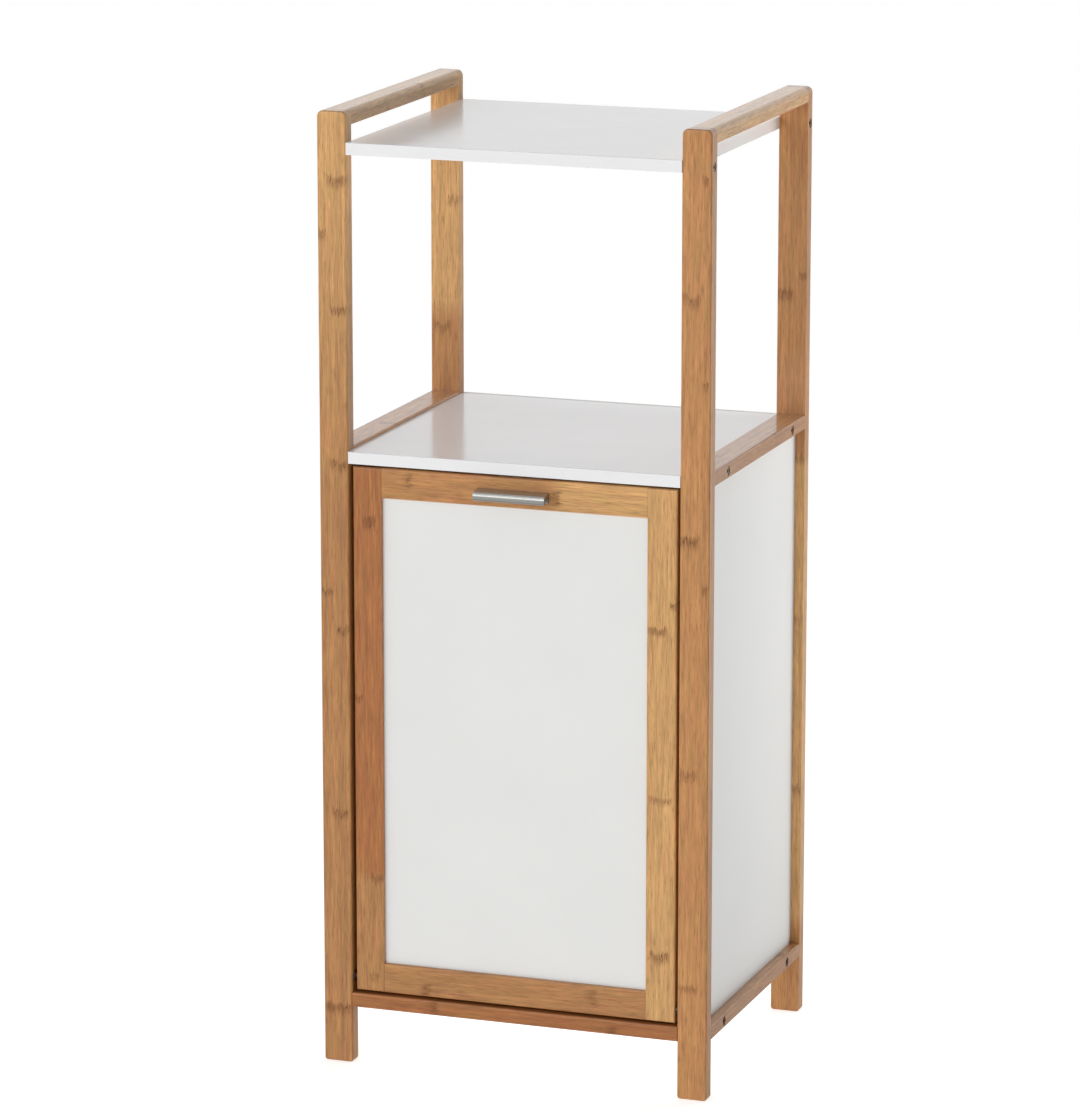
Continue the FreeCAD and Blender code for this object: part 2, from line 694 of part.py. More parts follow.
def pivots():
    """Steel pins in the door's stiles and nylon bushes for them in the front legs."""
    bush_at = ("inner_x - bush_length", "pivot_y", "pivot_z")
    flange_at = ("inner_x", "pivot_y", "pivot_z")
    bush_reach = "bush_length + bush_flange_thickness"
    sleeve = doc.addObject("Part::MultiFuse", "bush_body")
    sleeve.Shapes = [
        rod("bush_sleeve", bush_at, "+x", "bush_diameter", bush_reach),
        rod("bush_flange", flange_at, "+x", "bush_flange_diameter", "bush_flange_thickness"),
    ]
    bush = doc.addObject("Part::Cut", "bush")
    bush.Base = sleeve
    bush.Tool = rod("bush_bore", bush_at, "+x", "pivot_diameter + 2 * pivot_play", bush_reach)
    both_sides("pivot_bushes", [bush])
    pin_at = ("inner_x - bush_length + end_play", "pivot_y", "pivot_z")
    both_sides("pivot_pins", [rod("pin", pin_at, "+x", "pivot_diameter", "pivot_reach")])


def catch():
    """Magnetic catch under the middle shelf and its strike plate on the door."""
    housing = block("catch_housing", ("-catch_width / 2", "catch_y", "catch_z"),
                    ("catch_width", "catch_depth", "catch_height"))
    round_edges(housing, "board_round", "z", "-x +y", "+x +y")
    slot(housing, "+y", "0", ("catch_width / 2 - magnet_width / 2 - magnet_play", "catch_floor"),
         ("magnet_width + 2 * magnet_play", "magnet_height + magnet_play"), "magnet_depth + magnet_play")
    half = "catch_screw_spacing / 2"
    spots = [(f"catch_width / 2 {sign} {half}", "catch_depth / 2") for sign in "-+"]
    drill(housing, "+z", "0", spots, "small_bore")
    drill(housing, "+z", "0", spots, "small_head_bore", "small_screw_head_height")
    block("catch_magnet", ("-magnet_width / 2", "catch_y", "catch_z + catch_floor"),
          ("magnet_width", "magnet_depth", "magnet_height"))
    group("catch_screws", [
        screw("catch_screw", (f"{sign}{half}", "catch_y + catch_depth / 2", "catch_z"), "+z", SMALL_SCREW,
              "catch_height - small_screw_head_height + catch_screw_grip") for sign in "-+"])
    strike = block("strike_plate", ("-strike_width / 2", "door_back_y", "strike_z"),
                   ("strike_width", "strike_thickness", "strike_height"))
    drill(strike, "+y", "0", [("strike_width / 2", "strike_screw_rise")], "small_bore")
    keep(screw("strike_screw", ("0", "door_back_y + strike_thickness + small_screw_head_height",
                                "strike_z + strike_screw_rise"), "-y", SMALL_SCREW,
               "strike_thickness + strike_screw_grip"))


def corner_bend(label, x, turn):
    """A quarter bend of the bag frame's wire at a rear corner."""
    bend = doc.addObject("Part::Torus", label)
    bend.Angle3 = 90
    bend.setExpression("Radius1", bound("bag_frame_corner"))
    bend.setExpression("Radius2", bound("wire_diameter / 2"))
    place(bend, (x, "bag_back_y - bag_frame_corner", "bag_frame_z"), Rotation(Vector(0, 0, 1), turn))
    return bend


def bag_plate(label, x):
    """A plate at the front end of the bag frame's arm, with two screw holes."""
    plate = doc.addObject("Part::Box", f"{label}_plate")
    plate.setExpression("Length", bound("bag_plate_width"))
    plate.setExpression("Width", bound("bag_plate_thickness"))
    plate.setExpression("Height", bound("bag_plate_height"))
    place(plate, (f"{x} - bag_plate_width / 2", "door_back_y", "bag_frame_z - bag_plate_height / 2"))
    holes = doc.addObject("Part::Compound", f"{label}_holes")
    holes.Links = [
        rod("plate_hole", (x, "door_back_y", f"bag_frame_z {sign} bag_plate_screw_spacing / 2"), "+y",
            "small_bore", "bag_plate_thickness") for sign in "-+"]
    drilled = doc.addObject("Part::Cut", label)
    drilled.Base = plate
    drilled.Tool = holes
    return drilled


def bag_frame():
    """Welded wire frame on the back of the door that carries the bag's mouth."""
    half = "bag_frame_width / 2"
    arm_y = "door_back_y + bag_plate_thickness"
    arm_length = "bag_frame_reach - bag_plate_thickness - bag_frame_corner"
    frame = doc.addObject("Part::MultiFuse", "bag_frame")
    frame.Refine = True
    frame.Shapes = [
        rod("left_arm", (f"-{half}", arm_y, "bag_frame_z"), "+y", "wire_diameter", arm_length),
        rod("right_arm", (half, arm_y, "bag_frame_z"), "+y", "wire_diameter", arm_length),
        rod("rear_wire", ("-bag_run / 2", "bag_back_y", "bag_frame_z"), "+x", "wire_diameter", "bag_run"),
        rod("cross_wire", (f"-{half}", "bag_cross_y", "bag_frame_z"), "+x", "wire_diameter",
            "bag_frame_width"),
        corner_bend("right_bend", "bag_run / 2", 0),
        corner_bend("left_bend", "-bag_run / 2", 90),
        bag_plate("left_plate", f"-{half}"),
        bag_plate("right_plate", half),
    ]
    keep(frame)
    both_sides("bag_frame_screws", [
        screw("plate_screw", (f"-{half}", "door_back_y + bag_plate_thickness + small_screw_head_height",
                              f"bag_frame_z {sign} bag_plate_screw_spacing / 2"), "-y", SMALL_SCREW,
              "bag_plate_thickness + bag_plate_screw_grip") for sign in "-+"])


def laundry_bag():
    """Open-topped cloth bag with tunnel hems round the straight wires of its frame."""
    bag = new_body("laundry_bag", ("0", "bag_cross_y", "bag_frame_z"))
    mouth = sketch_across(bag, "z", "-bag_mouth_drop")
    draw_rectangle(mouth, ("-bag_frame_width / 2 - bag_wall / 2", "-bag_wall / 2"),
                   ("bag_frame_width + bag_wall", "bag_depth + bag_wall"))
    pad(bag, mouth, "bag_frame_z - bag_mouth_drop - bag_floor_z", "-z")
    round_edges(bag, "bag_frame_corner", "z")
    round_edges(bag, "bag_bottom_round", "x", "-z")
    full = bag.Tip
    top_face = max(range(len(full.Shape.Faces)), key=lambda index: full.Shape.Faces[index].CenterOfMass.z)
    hollow = bag.newObject("PartDesign::Thickness", "Thickness")
    hollow.Base = (full, [f"Face{top_face + 1}"])
    hollow.Reversed = True
    hollow.setExpression("Value", bound("bag_wall"))
    doc.recompute()
    side_spots = [("-bag_frame_width / 2", "0"), ("bag_frame_width / 2", "0")]
    end_spots = [("0", "0"), ("bag_depth", "0")]
    for towards, level, spots, run in (("+y", "bag_frame_corner", side_spots, "bag_side_run"),
                                       ("+x", "-bag_run / 2", end_spots, "bag_run")):
        hem = sketch_across(bag, towards[1], level)
        draw_circles(hem, spots, "hem_diameter")
        pad(bag, hem, run, towards)
        drill(bag, towards, level, spots, "hem_bore", run)
    keep(bag)


side_frames()
shelves()
base()
door_frame()
door_pull()
pivots()
catch()
bag_frame()
laundry_bag()
doc.recompute()

for item in doc.Objects:
    if "Invalid" in item.State or "Error" in item.State:
        raise RuntimeError(f"{item.Label} failed: {item.State}")
for piece in nodes:
    if piece.Shape.isNull() or not piece.Shape.isValid() or not piece.Shape.Solids:
        raise RuntimeError(f"{piece.Label} has no valid solid")

os.makedirs("parts", exist_ok=True)
for piece in nodes:
    piece.Shape.exportStep(f"parts/{piece.Label}.step")
    print(f"{piece.Label}: {len(piece.Shape.Solids)} solids, {piece.Shape.Volume:.0f} cubic mm")
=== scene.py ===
import math
import random

import bmesh
import bpy
from mathutils import Color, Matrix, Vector


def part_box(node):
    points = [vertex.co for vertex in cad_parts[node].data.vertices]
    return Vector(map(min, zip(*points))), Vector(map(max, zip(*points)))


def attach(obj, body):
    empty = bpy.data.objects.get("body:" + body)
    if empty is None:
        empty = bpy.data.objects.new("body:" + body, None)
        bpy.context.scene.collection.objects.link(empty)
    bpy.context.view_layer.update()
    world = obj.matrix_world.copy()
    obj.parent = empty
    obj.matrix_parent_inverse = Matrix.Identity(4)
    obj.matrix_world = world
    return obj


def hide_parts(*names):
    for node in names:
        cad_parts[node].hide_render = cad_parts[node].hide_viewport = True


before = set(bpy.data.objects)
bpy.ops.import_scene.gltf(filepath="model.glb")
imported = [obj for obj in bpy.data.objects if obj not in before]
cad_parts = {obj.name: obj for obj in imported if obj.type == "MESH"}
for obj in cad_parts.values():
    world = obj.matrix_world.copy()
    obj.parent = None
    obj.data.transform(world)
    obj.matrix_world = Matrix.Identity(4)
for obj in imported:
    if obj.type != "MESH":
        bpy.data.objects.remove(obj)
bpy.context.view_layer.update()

bl_info = {
    "name": "Bamboo bathroom cabinet",
    "version": (1, 0, 0),
    "blender": (4, 5, 0),
    "location": "View3D > Sidebar > Cabinet",
    "description": "Finishes a bamboo bathroom cabinet with a tilt-out laundry door",
    "category": "Object",
}

MM = 0.001
PER_MM = 1 / MM

# Sockets of the Mix node: its factor, the inputs for plain numbers, and the inputs and result for colours
MIX_FACTOR = 0
MIX_LOW = 2
MIX_HIGH = 3
MIX_FIRST = 6
MIX_SECOND = 7
MIX_RESULT = 2

# Every bamboo bar: the axes along it, across its face and through it, its shades with the places along it
# between which they change, often at a joint of the culm and on two legs as painted light and shade, and
# its joints' scars as (place along, start across, end across), all in mm from the bar's lowest corner
BARS = {
    # Left front leg: its paler top above 573 mm is partly the bar's own tone and partly painted light from
    # the upper left
    "left_front_leg": ("zxy", (("caramel", 573), ("straw", 955)), (
        (888, 9, 30), (837, 0, 9), (762, 12, 30), (609, 11, 30), (481, 0, 14), (443, 16, 30), (257, 10, 28),
        (56, 0, 30))),
    "right_front_leg": ("zxy", (("honey", 0),), (
        (908, 20, 27), (792, 0, 20), (710, 22, 28), (559, 0, 20), (511, 22, 28), (328, 0, 20), (114, 0, 22))),
    "left_rear_leg": ("zxy", (("honey", 698), ("straw", 720)), (
        (823, 18, 30), (693, 2, 22), (402, 0, 20), (171, 10, 30))),
    # Right rear leg: the straw stretch from 104 to 574 mm is painted light from the right rear, and the
    # darker caramel near 750 mm is painted shade
    "right_rear_leg": ("zxy", (
        ("honey", 88), ("straw", 104), ("straw", 574), ("honey", 586), ("honey", 690), ("caramel", 750),
        ("honey", 900)), (
        (767, 22, 30), (748, 0, 16), (580, 16, 30), (414, 20, 30), (237, 14, 30), (96, 0, 18))),
    "left_top_rail": ("yxz", (("straw", 0),), ((196, 18, 30),)),
    "right_top_rail": ("yxz", (("straw", 0),), ((148, 0, 9),)),
    "left_middle_rail": ("yxz", (("honey", 0),), ((118, 10, 30), (244, 0, 12))),
    "right_middle_rail": ("yxz", (("caramel", 0),), ((72, 0, 14), (196, 18, 30))),
    "left_lower_rail": ("yxz", (("honey", 0),), ((60, 0, 16), (207, 12, 30))),
    "right_lower_rail": ("yxz", (("caramel", 0),), ((134, 0, 20), (251, 18, 30))),
    # Front lower rail: its amber is partly the rail's own darker tone and partly painted shade for the dimmer
    # light low down
    "front_lower_rail": ("xzy", (("amber", 0),), ((88, 0, 15), (274, 0, 9))),
    "door_stop_batten": ("xzy", (("honey", 0),), ((70, 0, 12), (181, 8, 20))),
    "door_left_stile": ("zxy", (("caramel", 112), ("amber", 124)), (
        (479, 10, 24), (300, 0, 9), (118, 16, 30), (16, 14, 24))),
    "door_right_stile": ("zxy", (("straw", 0),), ((392, 0, 21), (418, 23, 30), (224, 2, 26), (66, 2, 24))),
    "door_top_rail": ("xzy", (("honey", 172), ("straw", 190)), ((29, 12, 28), (181, 5, 20))),
    "door_bottom_rail": ("xzy", (("caramel", 0),), ((219, 8, 26), (46, 0, 14))),
}

GLOSSY_BOARDS = ("top_shelf", "middle_shelf")
MATT_BOARDS = ("left_side_panel", "right_side_panel", "door_panel", "base_board", "back_panel")
ZINC_PIECES = ("top_shelf_screws", "middle_shelf_screws", "base_screws", "back_panel_screws", "catch_screws",
               "pull_screws", "bag_frame_screws", "strike_screw", "strike_plate")
DOWELS = ("left_frame_dowels", "right_frame_dowels", "front_rail_dowels", "door_dowels")

# Lamps: width, height, place and aim in metres, and whether they light matt surfaces and show in gloss
LAMPS = {
    "key": (2.4, 1.8, (-1.8, -4.2, 1.9), (0, 0, 0.5), True, True),
    "edge": (0.3, 1, (0.6, 0.38, 0.6), (0.2, 0.1, 0.6), True, True),
    "strip": (2, 0.3, (0, -1.3, 2.2), (0, -0.15, 0.6), False, True),
    "top": (0.6, 0.6, (0, 0.3, 3), (0, 0.2, 0.9), True, False),
}

# Half the table's width in metres; its edge lies at the horizon
TABLE_REACH = 60

# How the canvas hangs, in the cloth simulation's terms
HANGING = {
    "quality": 6,
    "mass": 0.02,
    "tension_stiffness": 40,
    "compression_stiffness": 12,
    "shear_stiffness": 8,
    "bending_stiffness": 1.5,
    "air_damping": 3,
}


def linear(code):
    """Turns an sRGB hex colour into linear red, green, blue and full alpha."""
    channels = [channel / 255 for channel in bytes.fromhex(code.lstrip("#"))]
    return (*Color(channels).from_srgb_to_scene_linear(), 1)


def colour(name, description, code):
    """A colour that a user can change."""
    return bpy.props.FloatVectorProperty(name=name, description=description, size=4, subtype="COLOR",
                                         min=0, max=1, default=linear(code))


def length(name, description, millimetres):
    """A length that a user can change, shown in the scene's units."""
    return bpy.props.FloatProperty(name=name, description=description, unit="LENGTH", min=0, precision=5,
                                   default=millimetres * MM)


def share(name, description, default, most=1):
    """A plain factor that a user can change."""
    return bpy.props.FloatProperty(name=name, description=description, subtype="FACTOR", min=0, max=most,
                                   default=default)


def power(name, description, watts):
    """A lamp's power that a user can change."""
    return bpy.props.FloatProperty(name=name, description=description, unit="POWER", min=0, default=watts)


def angle(name, description, degrees):
    """An angle that a user can change."""
    return bpy.props.FloatProperty(name=name, description=description, subtype="ANGLE",
                                   default=math.radians(degrees))


class BambooFinish(bpy.types.PropertyGroup):
    """Shades and strip sizes of the bamboo bars."""

    amber: colour("Amber", "Darkest shade of bar", "#A96C3B")
    caramel: colour("Caramel", "Second darkest shade of bar", "#B27E4C")
    honey: colour("Honey", "Second palest shade of bar", "#BD8651")
    straw: colour("Straw", "Palest shade of bar", "#D2A166")
    scar: colour("Node scar", "Brown of the culm's joints", "#7A4A20")
    hair: colour("Hair", "Brown of the darkest fibres", "#8C5A31")
    fleck: colour("Fleck", "Darkest brown, in specks at the culm's joints", "#573213")
    strip_width: length("Strip width", "Usual width of one glued strip across a bar's face", 10)
    layer_height: length("Layer height", "Height of one layer of strips through a bar", 7.5)
    ribbon_width: length("Ribbon width", "Width of a ribbon of like fibres", 2.8)
    ribbon_length: length("Ribbon length", "Length over which a ribbon keeps its tone", 48)
    hair_width: length("Hair width", "Width of a single fibre bundle; real ones are 0.4 mm", 1)
    hair_length: length("Hair length", "Length of a single fibre bundle", 15)
    fleck_width: length("Fleck width", "Width of one speck at a joint", 1.5)
    fleck_length: length("Fleck length", "Length of one speck at a joint", 5)
    pore_spacing: length("Pore spacing", "Spacing of the pores in the end grain", 1.4)
    scar_height: length("Scar height", "Height of a node scar along the bar", 9)
    roughness: share("Roughness", "Roughness of the satin lacquer", 0.4)


class BoardFinish(bpy.types.PropertyGroup):
    """Whites of the shelves and panels."""

    lacquer: colour("Lacquer", "White of the glossy shelves", "#F1F1F2")
    foil: colour("Foil", "White of the matt panels", "#E9E9E7")
    ripple: length("Ripple", "Spacing of the ripple that spraying leaves", 6)
    lacquer_cloud: length("Lacquer cloud", "Width of the faint clouds in the lacquer", 1000 / 14)
    foil_grain: length("Foil grain", "Spacing of the foil's fine grain; the real one is 0.3 mm", 1.2)
    foil_cloud: length("Foil cloud", "Width of the faint clouds in the foil", 1000 / 9)


class HardwareFinish(bpy.types.PropertyGroup):
    """Colours of the metal, plastic and hidden wooden pieces."""

    aluminium: colour("Aluminium", "Anodised pull", "#B6B6B2")
    zinc: colour("Zinc", "Plated screws and plates", "#9A9B9B")
    bronze: colour("Bronze", "Plated pivot pins", "#A47A54")
    bush: colour("Bush", "Brown nylon of the pivot bushes", "#3B2A1E")
    housing: colour("Housing", "White nylon of the catch", "#E8E6DF")
    ferrite: colour("Ferrite", "Magnet of the catch", "#35353A")
    enamel: colour("Enamel", "Powder coat of the bag's wire", "#E9E9E8")
    beech: colour("Beech", "Dowels", "#C8A278")


class BagCloth(bpy.types.PropertyGroup):
    """Sizes and colours of the laundry bag."""

    canvas: colour("Canvas", "Unbleached cotton", "#DDD5C3")
    # Painted shade that darkens the canvas where the threads fall away between each other
    weave_shade: colour("Weft", "Shaded side of the threads", "#C6BBA4")
    thread: colour("Thread", "Sewing thread", "#EFE9DA")
    thread_spacing: length("Thread spacing", "Spacing of the weave; the real one is 0.7 mm", 1.5)
    thickness: length("Thickness", "Thickness of the canvas", 1)
    hem_radius: length("Hem radius", "Outer radius of the tunnel round the wire", 4.4)
    hem_fall: length("Hem fall", "How far the hem's two flaps hang below the wire", 17)
    corner: length("Corner", "Radius of the bag's upright corners", 25)
    bottom_round: length("Bottom round", "Radius between walls and floor", 14)
    fold: length("Fold", "Depth of the loose folds halfway down", 4)
    scoop: length("Scoop", "How far the mouth dips at the bag's corners", 7)
    ease: share("Ease", "Share by which the cloth is larger than its frame", 0.015)
    most_sway: length("Most sway", "How far the hanging cloth may leave its cut shape", 9)
    frames: bpy.props.IntProperty(name="Frames", description="Steps for which the cloth hangs", default=24)
    stitch_length: length("Stitch length", "Length of one stitch", 3.2)
    stitch_gap: length("Stitch gap", "Gap between two stitches", 1.3)
    thread_radius: length("Thread radius", "Half the thickness of the sewing thread", 0.45)


class Studio(bpy.types.PropertyGroup):
    """Floor, light and camera."""

    floor: colour("Floor", "White of the lit table", "#EDEDED")
    floor_glow: share("Floor glow", "Light that comes through the table", 0.6, most=2)
    surround: share("Surround", "Brightness of the white surround at the horizon", 0.975, most=2)
    backdrop: share("Backdrop", "Brightness of the surround behind the cabinet", 1.02, most=3)
    ceiling: share("Ceiling", "Brightness of the surround overhead", 0.45, most=2)
    right: share("Right", "Share of its brightness that the surround keeps on the right", 0.03)
    below: share("Below", "Share of its brightness that the surround keeps below the horizon", 0.5)
    key_power: power("Key power", "Power of the large front light", 33)
    edge_power: power("Edge power", "Power of the light at the right rear", 1.8)
    strip_power: power("Strip power", "Power of the overhead strip light", 7)
    top_power: power("Top power", "Power of the light above the shelves", 6)
    eye: bpy.props.FloatVectorProperty(name="Eye", description="Place of the camera", unit="LENGTH",
                                       subtype="TRANSLATION", default=(1.74553, -4.97069, 1.68670))
    yaw: angle("Yaw", "Turn of the camera to the left", 19.631)
    pitch: angle("Pitch", "Downward tilt of the camera", 12.703)
    lens: bpy.props.FloatProperty(name="Lens", description="Focal length on a 36 mm sensor", unit="CAMERA",
                                  default=176.39)


def add(tree, kind, inputs=None, **settings):
    """Adds a node with its settings, links or sets its inputs by name or number, and gives its outputs."""
    made = tree.nodes.new(kind)
    for setting, value in settings.items():
        setattr(made, setting, value)
    for socket, given in (inputs or {}).items():
        if isinstance(given, bpy.types.NodeSocket):
            tree.links.new(given, made.inputs[socket])
        else:
            made.inputs[socket].default_value = given
    return made.outputs


def new_material(name, **sockets):
    """Makes a material, and gives its tree, its Principled shader and its coordinates."""
    material = bpy.data.materials.new(name)
    material.use_nodes = True
    tree = material.node_tree
    shader = tree.nodes["Principled BSDF"]
    for socket, value in sockets.items():
        shader.inputs[socket.replace("_", " ")].default_value = value
    return material, tree, shader, add(tree, "ShaderNodeTexCoord")


def work_in(tree, shader, pattern, shade=None, values=(0, 1), within=(0, 1), roughness=None, relief=None):
    """Works a pattern into a shader: its shade's value, its roughness, and its relief in mm and strength."""
    if shade is not None:
        value = add(tree, "ShaderNodeMapRange", {
            "Value": pattern, "From Min": within[0], "From Max": within[1],
            "To Min": values[0], "To Max": values[1]})[0]
        tinted = add(tree, "ShaderNodeHueSaturation", {"Value": value, "Color": shade})[0]
        tree.links.new(tinted, shader.inputs["Base Color"])
    if roughness is not None:
        rough = add(tree, "ShaderNodeMapRange", {
            "Value": pattern, "To Min": roughness[0], "To Max": roughness[1]})[0]
        tree.links.new(rough, shader.inputs["Roughness"])
    if relief is not None:
        bump = add(tree, "ShaderNodeBump", {
            "Height": pattern, "Distance": relief[0] * MM, "Strength": relief[1]})[0]
        tree.links.new(bump, shader.inputs["Normal"])


def speckled(name, shade, grain, detail, values, roughness=None, relief=None, **sockets):
    """A material whose shade and surface follow one noise, its grain in mm."""
    material, tree, shader, where = new_material(name, **sockets)
    speckle = add(tree, "ShaderNodeTexNoise", {
        "Vector": where["Object"], "Scale": 1 / (grain * MM), "Detail": detail})["Fac"]
    work_in(tree, shader, speckle, shade, values, roughness=roughness, relief=relief)
    return material


def dress(material, *names):
    """Gives CAD nodes a material."""
    for name in names:
        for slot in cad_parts[name].material_slots:
            slot.material = material


def node_scar():
    """The scar that a joint of the culm leaves across a strip: a bowed, ragged band that fades below."""
    tree = bpy.data.node_groups.new("node_scar", "ShaderNodeTree")
    for name in ("Along", "Across", "Ragged", "At", "Start", "End", "Height", "Strength"):
        tree.interface.new_socket(name, in_out="INPUT", socket_type="NodeSocketFloat")
    tree.interface.new_socket("Mask", in_out="OUTPUT", socket_type="NodeSocketFloat")
    given = add(tree, "NodeGroupInput")
    sideways = add(tree, "ShaderNodeMapRange", {
        "Value": given["Across"], "From Min": given["Start"], "From Max": given["End"],
        "To Min": -1, "To Max": 1}, clamp=False)[0]
    bow = add(tree, "ShaderNodeMath", {0: sideways, 1: sideways}, operation="MULTIPLY")[0]
    above = add(tree, "ShaderNodeMath", {0: given["Along"], 1: given["At"]}, operation="SUBTRACT")[0]
    level = add(tree, "ShaderNodeMath", {0: above, 1: given["Height"]}, operation="DIVIDE")[0]
    bowed = add(tree, "ShaderNodeMath", {0: bow, 1: -0.2, 2: level}, operation="MULTIPLY_ADD")[0]
    ragged = add(tree, "ShaderNodeMapRange", {
        "Value": given["Ragged"], "From Min": 0.2, "From Max": 0.8, "To Min": -0.45, "To Max": 0.45},
        clamp=False)[0]
    height = add(tree, "ShaderNodeMath", {0: bowed, 1: ragged}, operation="ADD")[0]
    fade = add(tree, "ShaderNodeMapRange", {
        "Value": height, "From Min": -1.1, "From Max": -0.1}, interpolation_type="SMOOTHSTEP")[0]
    edge = add(tree, "ShaderNodeMapRange", {
        "Value": height, "From Min": 0.05, "From Max": 0.5, "To Min": given["Strength"], "To Max": 0},
        interpolation_type="SMOOTHSTEP")[0]
    sides = add(tree, "ShaderNodeMapRange", {
        "Value": bow, "From Min": 0.6, "From Max": 1.15, "To Min": 1, "To Max": 0})[0]
    band = add(tree, "ShaderNodeMath", {0: fade, 1: edge}, operation="MULTIPLY")[0]
    mask = add(tree, "ShaderNodeMath", {0: band, 1: sides}, operation="MULTIPLY")[0]
    add(tree, "NodeGroupOutput", {"Mask": mask})
    return tree


def laminated_bamboo(bar, scar_group, finish):
    """Bamboo strips glued edge to edge under clear satin lacquer.

    The strips differ a little in tone, ribbons and hairs of fibre run along them, joints of the culm leave
    ragged brown scars, and the lacquer turns pale where it is seen at a low angle. The shade changes along
    some bars, and on two legs that change is painted light and shade. The ends are dark and pored.
    """
    axes, shades, scars = BARS[bar]
    draw = random.Random(bar)
    material, tree, shader, where = new_material(
        f"laminated_bamboo_{bar}", IOR=1.35, Coat_Weight=0.8, Coat_Roughness=0.12, Coat_IOR=1.35)
    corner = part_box(bar)[0]
    place = add(tree, "ShaderNodeMapping", {
        "Vector": where["Object"], "Location": -corner * PER_MM, "Scale": (PER_MM,) * 3})[0]
    split = add(tree, "ShaderNodeSeparateXYZ", {0: place})
    along, across, depth = (split[axis.upper()] for axis in axes)
    grain = add(tree, "ShaderNodeCombineXYZ", {"X": across, "Y": depth, "Z": along})[0]

    # Each glued strip is a cell with a tone of its own, and its fibres start anew
    strip_width = finish.strip_width * PER_MM * draw.uniform(0.8, 1.25)
    strip = (1 / strip_width, 1 / (finish.layer_height * PER_MM), 0)
    cells = add(tree, "ShaderNodeVectorMath", {0: grain, 1: strip}, operation="MULTIPLY")[0]
    cell = add(tree, "ShaderNodeVectorMath", {0: cells}, operation="FLOOR")[0]
    tone = add(tree, "ShaderNodeTexWhiteNoise", {"Vector": cell, "W": draw.uniform(0, 100)},
               noise_dimensions="4D")["Value"]
    apart = [draw.uniform(300, 900) for _ in range(3)]
    shifted = add(tree, "ShaderNodeVectorMath", {0: cell, 1: apart, 2: grain}, operation="MULTIPLY_ADD")[0]
    fibres = {}
    for name in ("ribbon", "hair", "fleck"):
        width = getattr(finish, f"{name}_width")
        fineness = (MM / width, MM / width, MM / getattr(finish, f"{name}_length"))
        stretched = add(tree, "ShaderNodeVectorMath", {0: shifted, 1: fineness}, operation="MULTIPLY")[0]
        fibres[name] = add(tree, "ShaderNodeTexNoise", {
            "Vector": stretched, "Scale": 1, "Detail": 2, "Roughness": 0.55, "Distortion": 0.2})
    ribbons = add(tree, "ShaderNodeSeparateColor", {0: fibres["ribbon"]["Color"]})
    hairs = fibres["hair"]["Fac"]

    # Colour of the long faces
    hue = add(tree, "ShaderNodeMapRange", {
        "Value": ribbons[0], "From Min": 0.25, "From Max": 0.75, "To Min": 0.489, "To Max": 0.51})[0]
    value = add(tree, "ShaderNodeMapRange", {"Value": tone, "To Min": 0.93, "To Max": 1.07})[0]
    for fibre, low, high in ((ribbons[1], 0.78, 1.22), (hairs, 1.16, 0.84)):
        lightness = add(tree, "ShaderNodeMapRange", {
            "Value": fibre, "From Min": 0.25, "From Max": 0.75, "To Min": low, "To Max": high})[0]
        value = add(tree, "ShaderNodeMath", {0: value, 1: lightness}, operation="MULTIPLY")[0]
    # The shade changes along the bar at the places BARS gives; on the left front and right rear legs this
    # change is painted light and painted shade
    shade = getattr(finish, shades[0][0])
    for (_, start), (name, end) in zip(shades, shades[1:]):
        upper = add(tree, "ShaderNodeMapRange", {"Value": along, "From Min": start, "From Max": end})[0]
        shade = add(tree, "ShaderNodeMix", {
            MIX_FACTOR: upper, MIX_FIRST: shade, MIX_SECOND: getattr(finish, name)},
            data_type="RGBA")[MIX_RESULT]
    strips = add(tree, "ShaderNodeHueSaturation", {"Hue": hue, "Value": value, "Color": shade})[0]

    # Dark hairs all over, and scars of the culm's joints, darkest in the hairs and specks that cross them
    mask = None
    for at, start, end in scars:
        scar = add(tree, "ShaderNodeGroup", {
            "Along": along, "Across": across, "Ragged": ribbons[2], "At": at, "Start": start, "End": end,
            "Height": finish.scar_height * PER_MM * draw.uniform(0.8, 1.3),
            "Strength": draw.uniform(0.55, 1)}, node_tree=scar_group)[0]
        if mask is not None:
            scar = add(tree, "ShaderNodeMath", {0: mask, 1: scar}, operation="MAXIMUM")[0]
        mask = scar
    dark_hair = add(tree, "ShaderNodeMapRange", {
        "Value": hairs, "From Min": 0.58, "From Max": 0.72, "To Max": 0.5})[0]
    crossing = add(tree, "ShaderNodeMapRange", {
        "Value": hairs, "From Min": 0.35, "From Max": 0.65, "To Min": 0.35, "To Max": 0.8})[0]
    stain = add(tree, "ShaderNodeMath", {0: mask, 1: crossing}, operation="MULTIPLY")[0]
    speckled = add(tree, "ShaderNodeMapRange", {
        "Value": fibres["fleck"]["Fac"], "From Min": 0.54, "From Max": 0.66, "To Max": 0.9})[0]
    speck = add(tree, "ShaderNodeMath", {0: mask, 1: speckled}, operation="MULTIPLY")[0]
    browned = strips
    for cover, brown in ((dark_hair, finish.hair), (stain, finish.scar), (speck, finish.fleck)):
        browned = add(tree, "ShaderNodeMix", {
            MIX_FACTOR: cover, MIX_FIRST: browned, MIX_SECOND: brown}, data_type="RGBA")[MIX_RESULT]

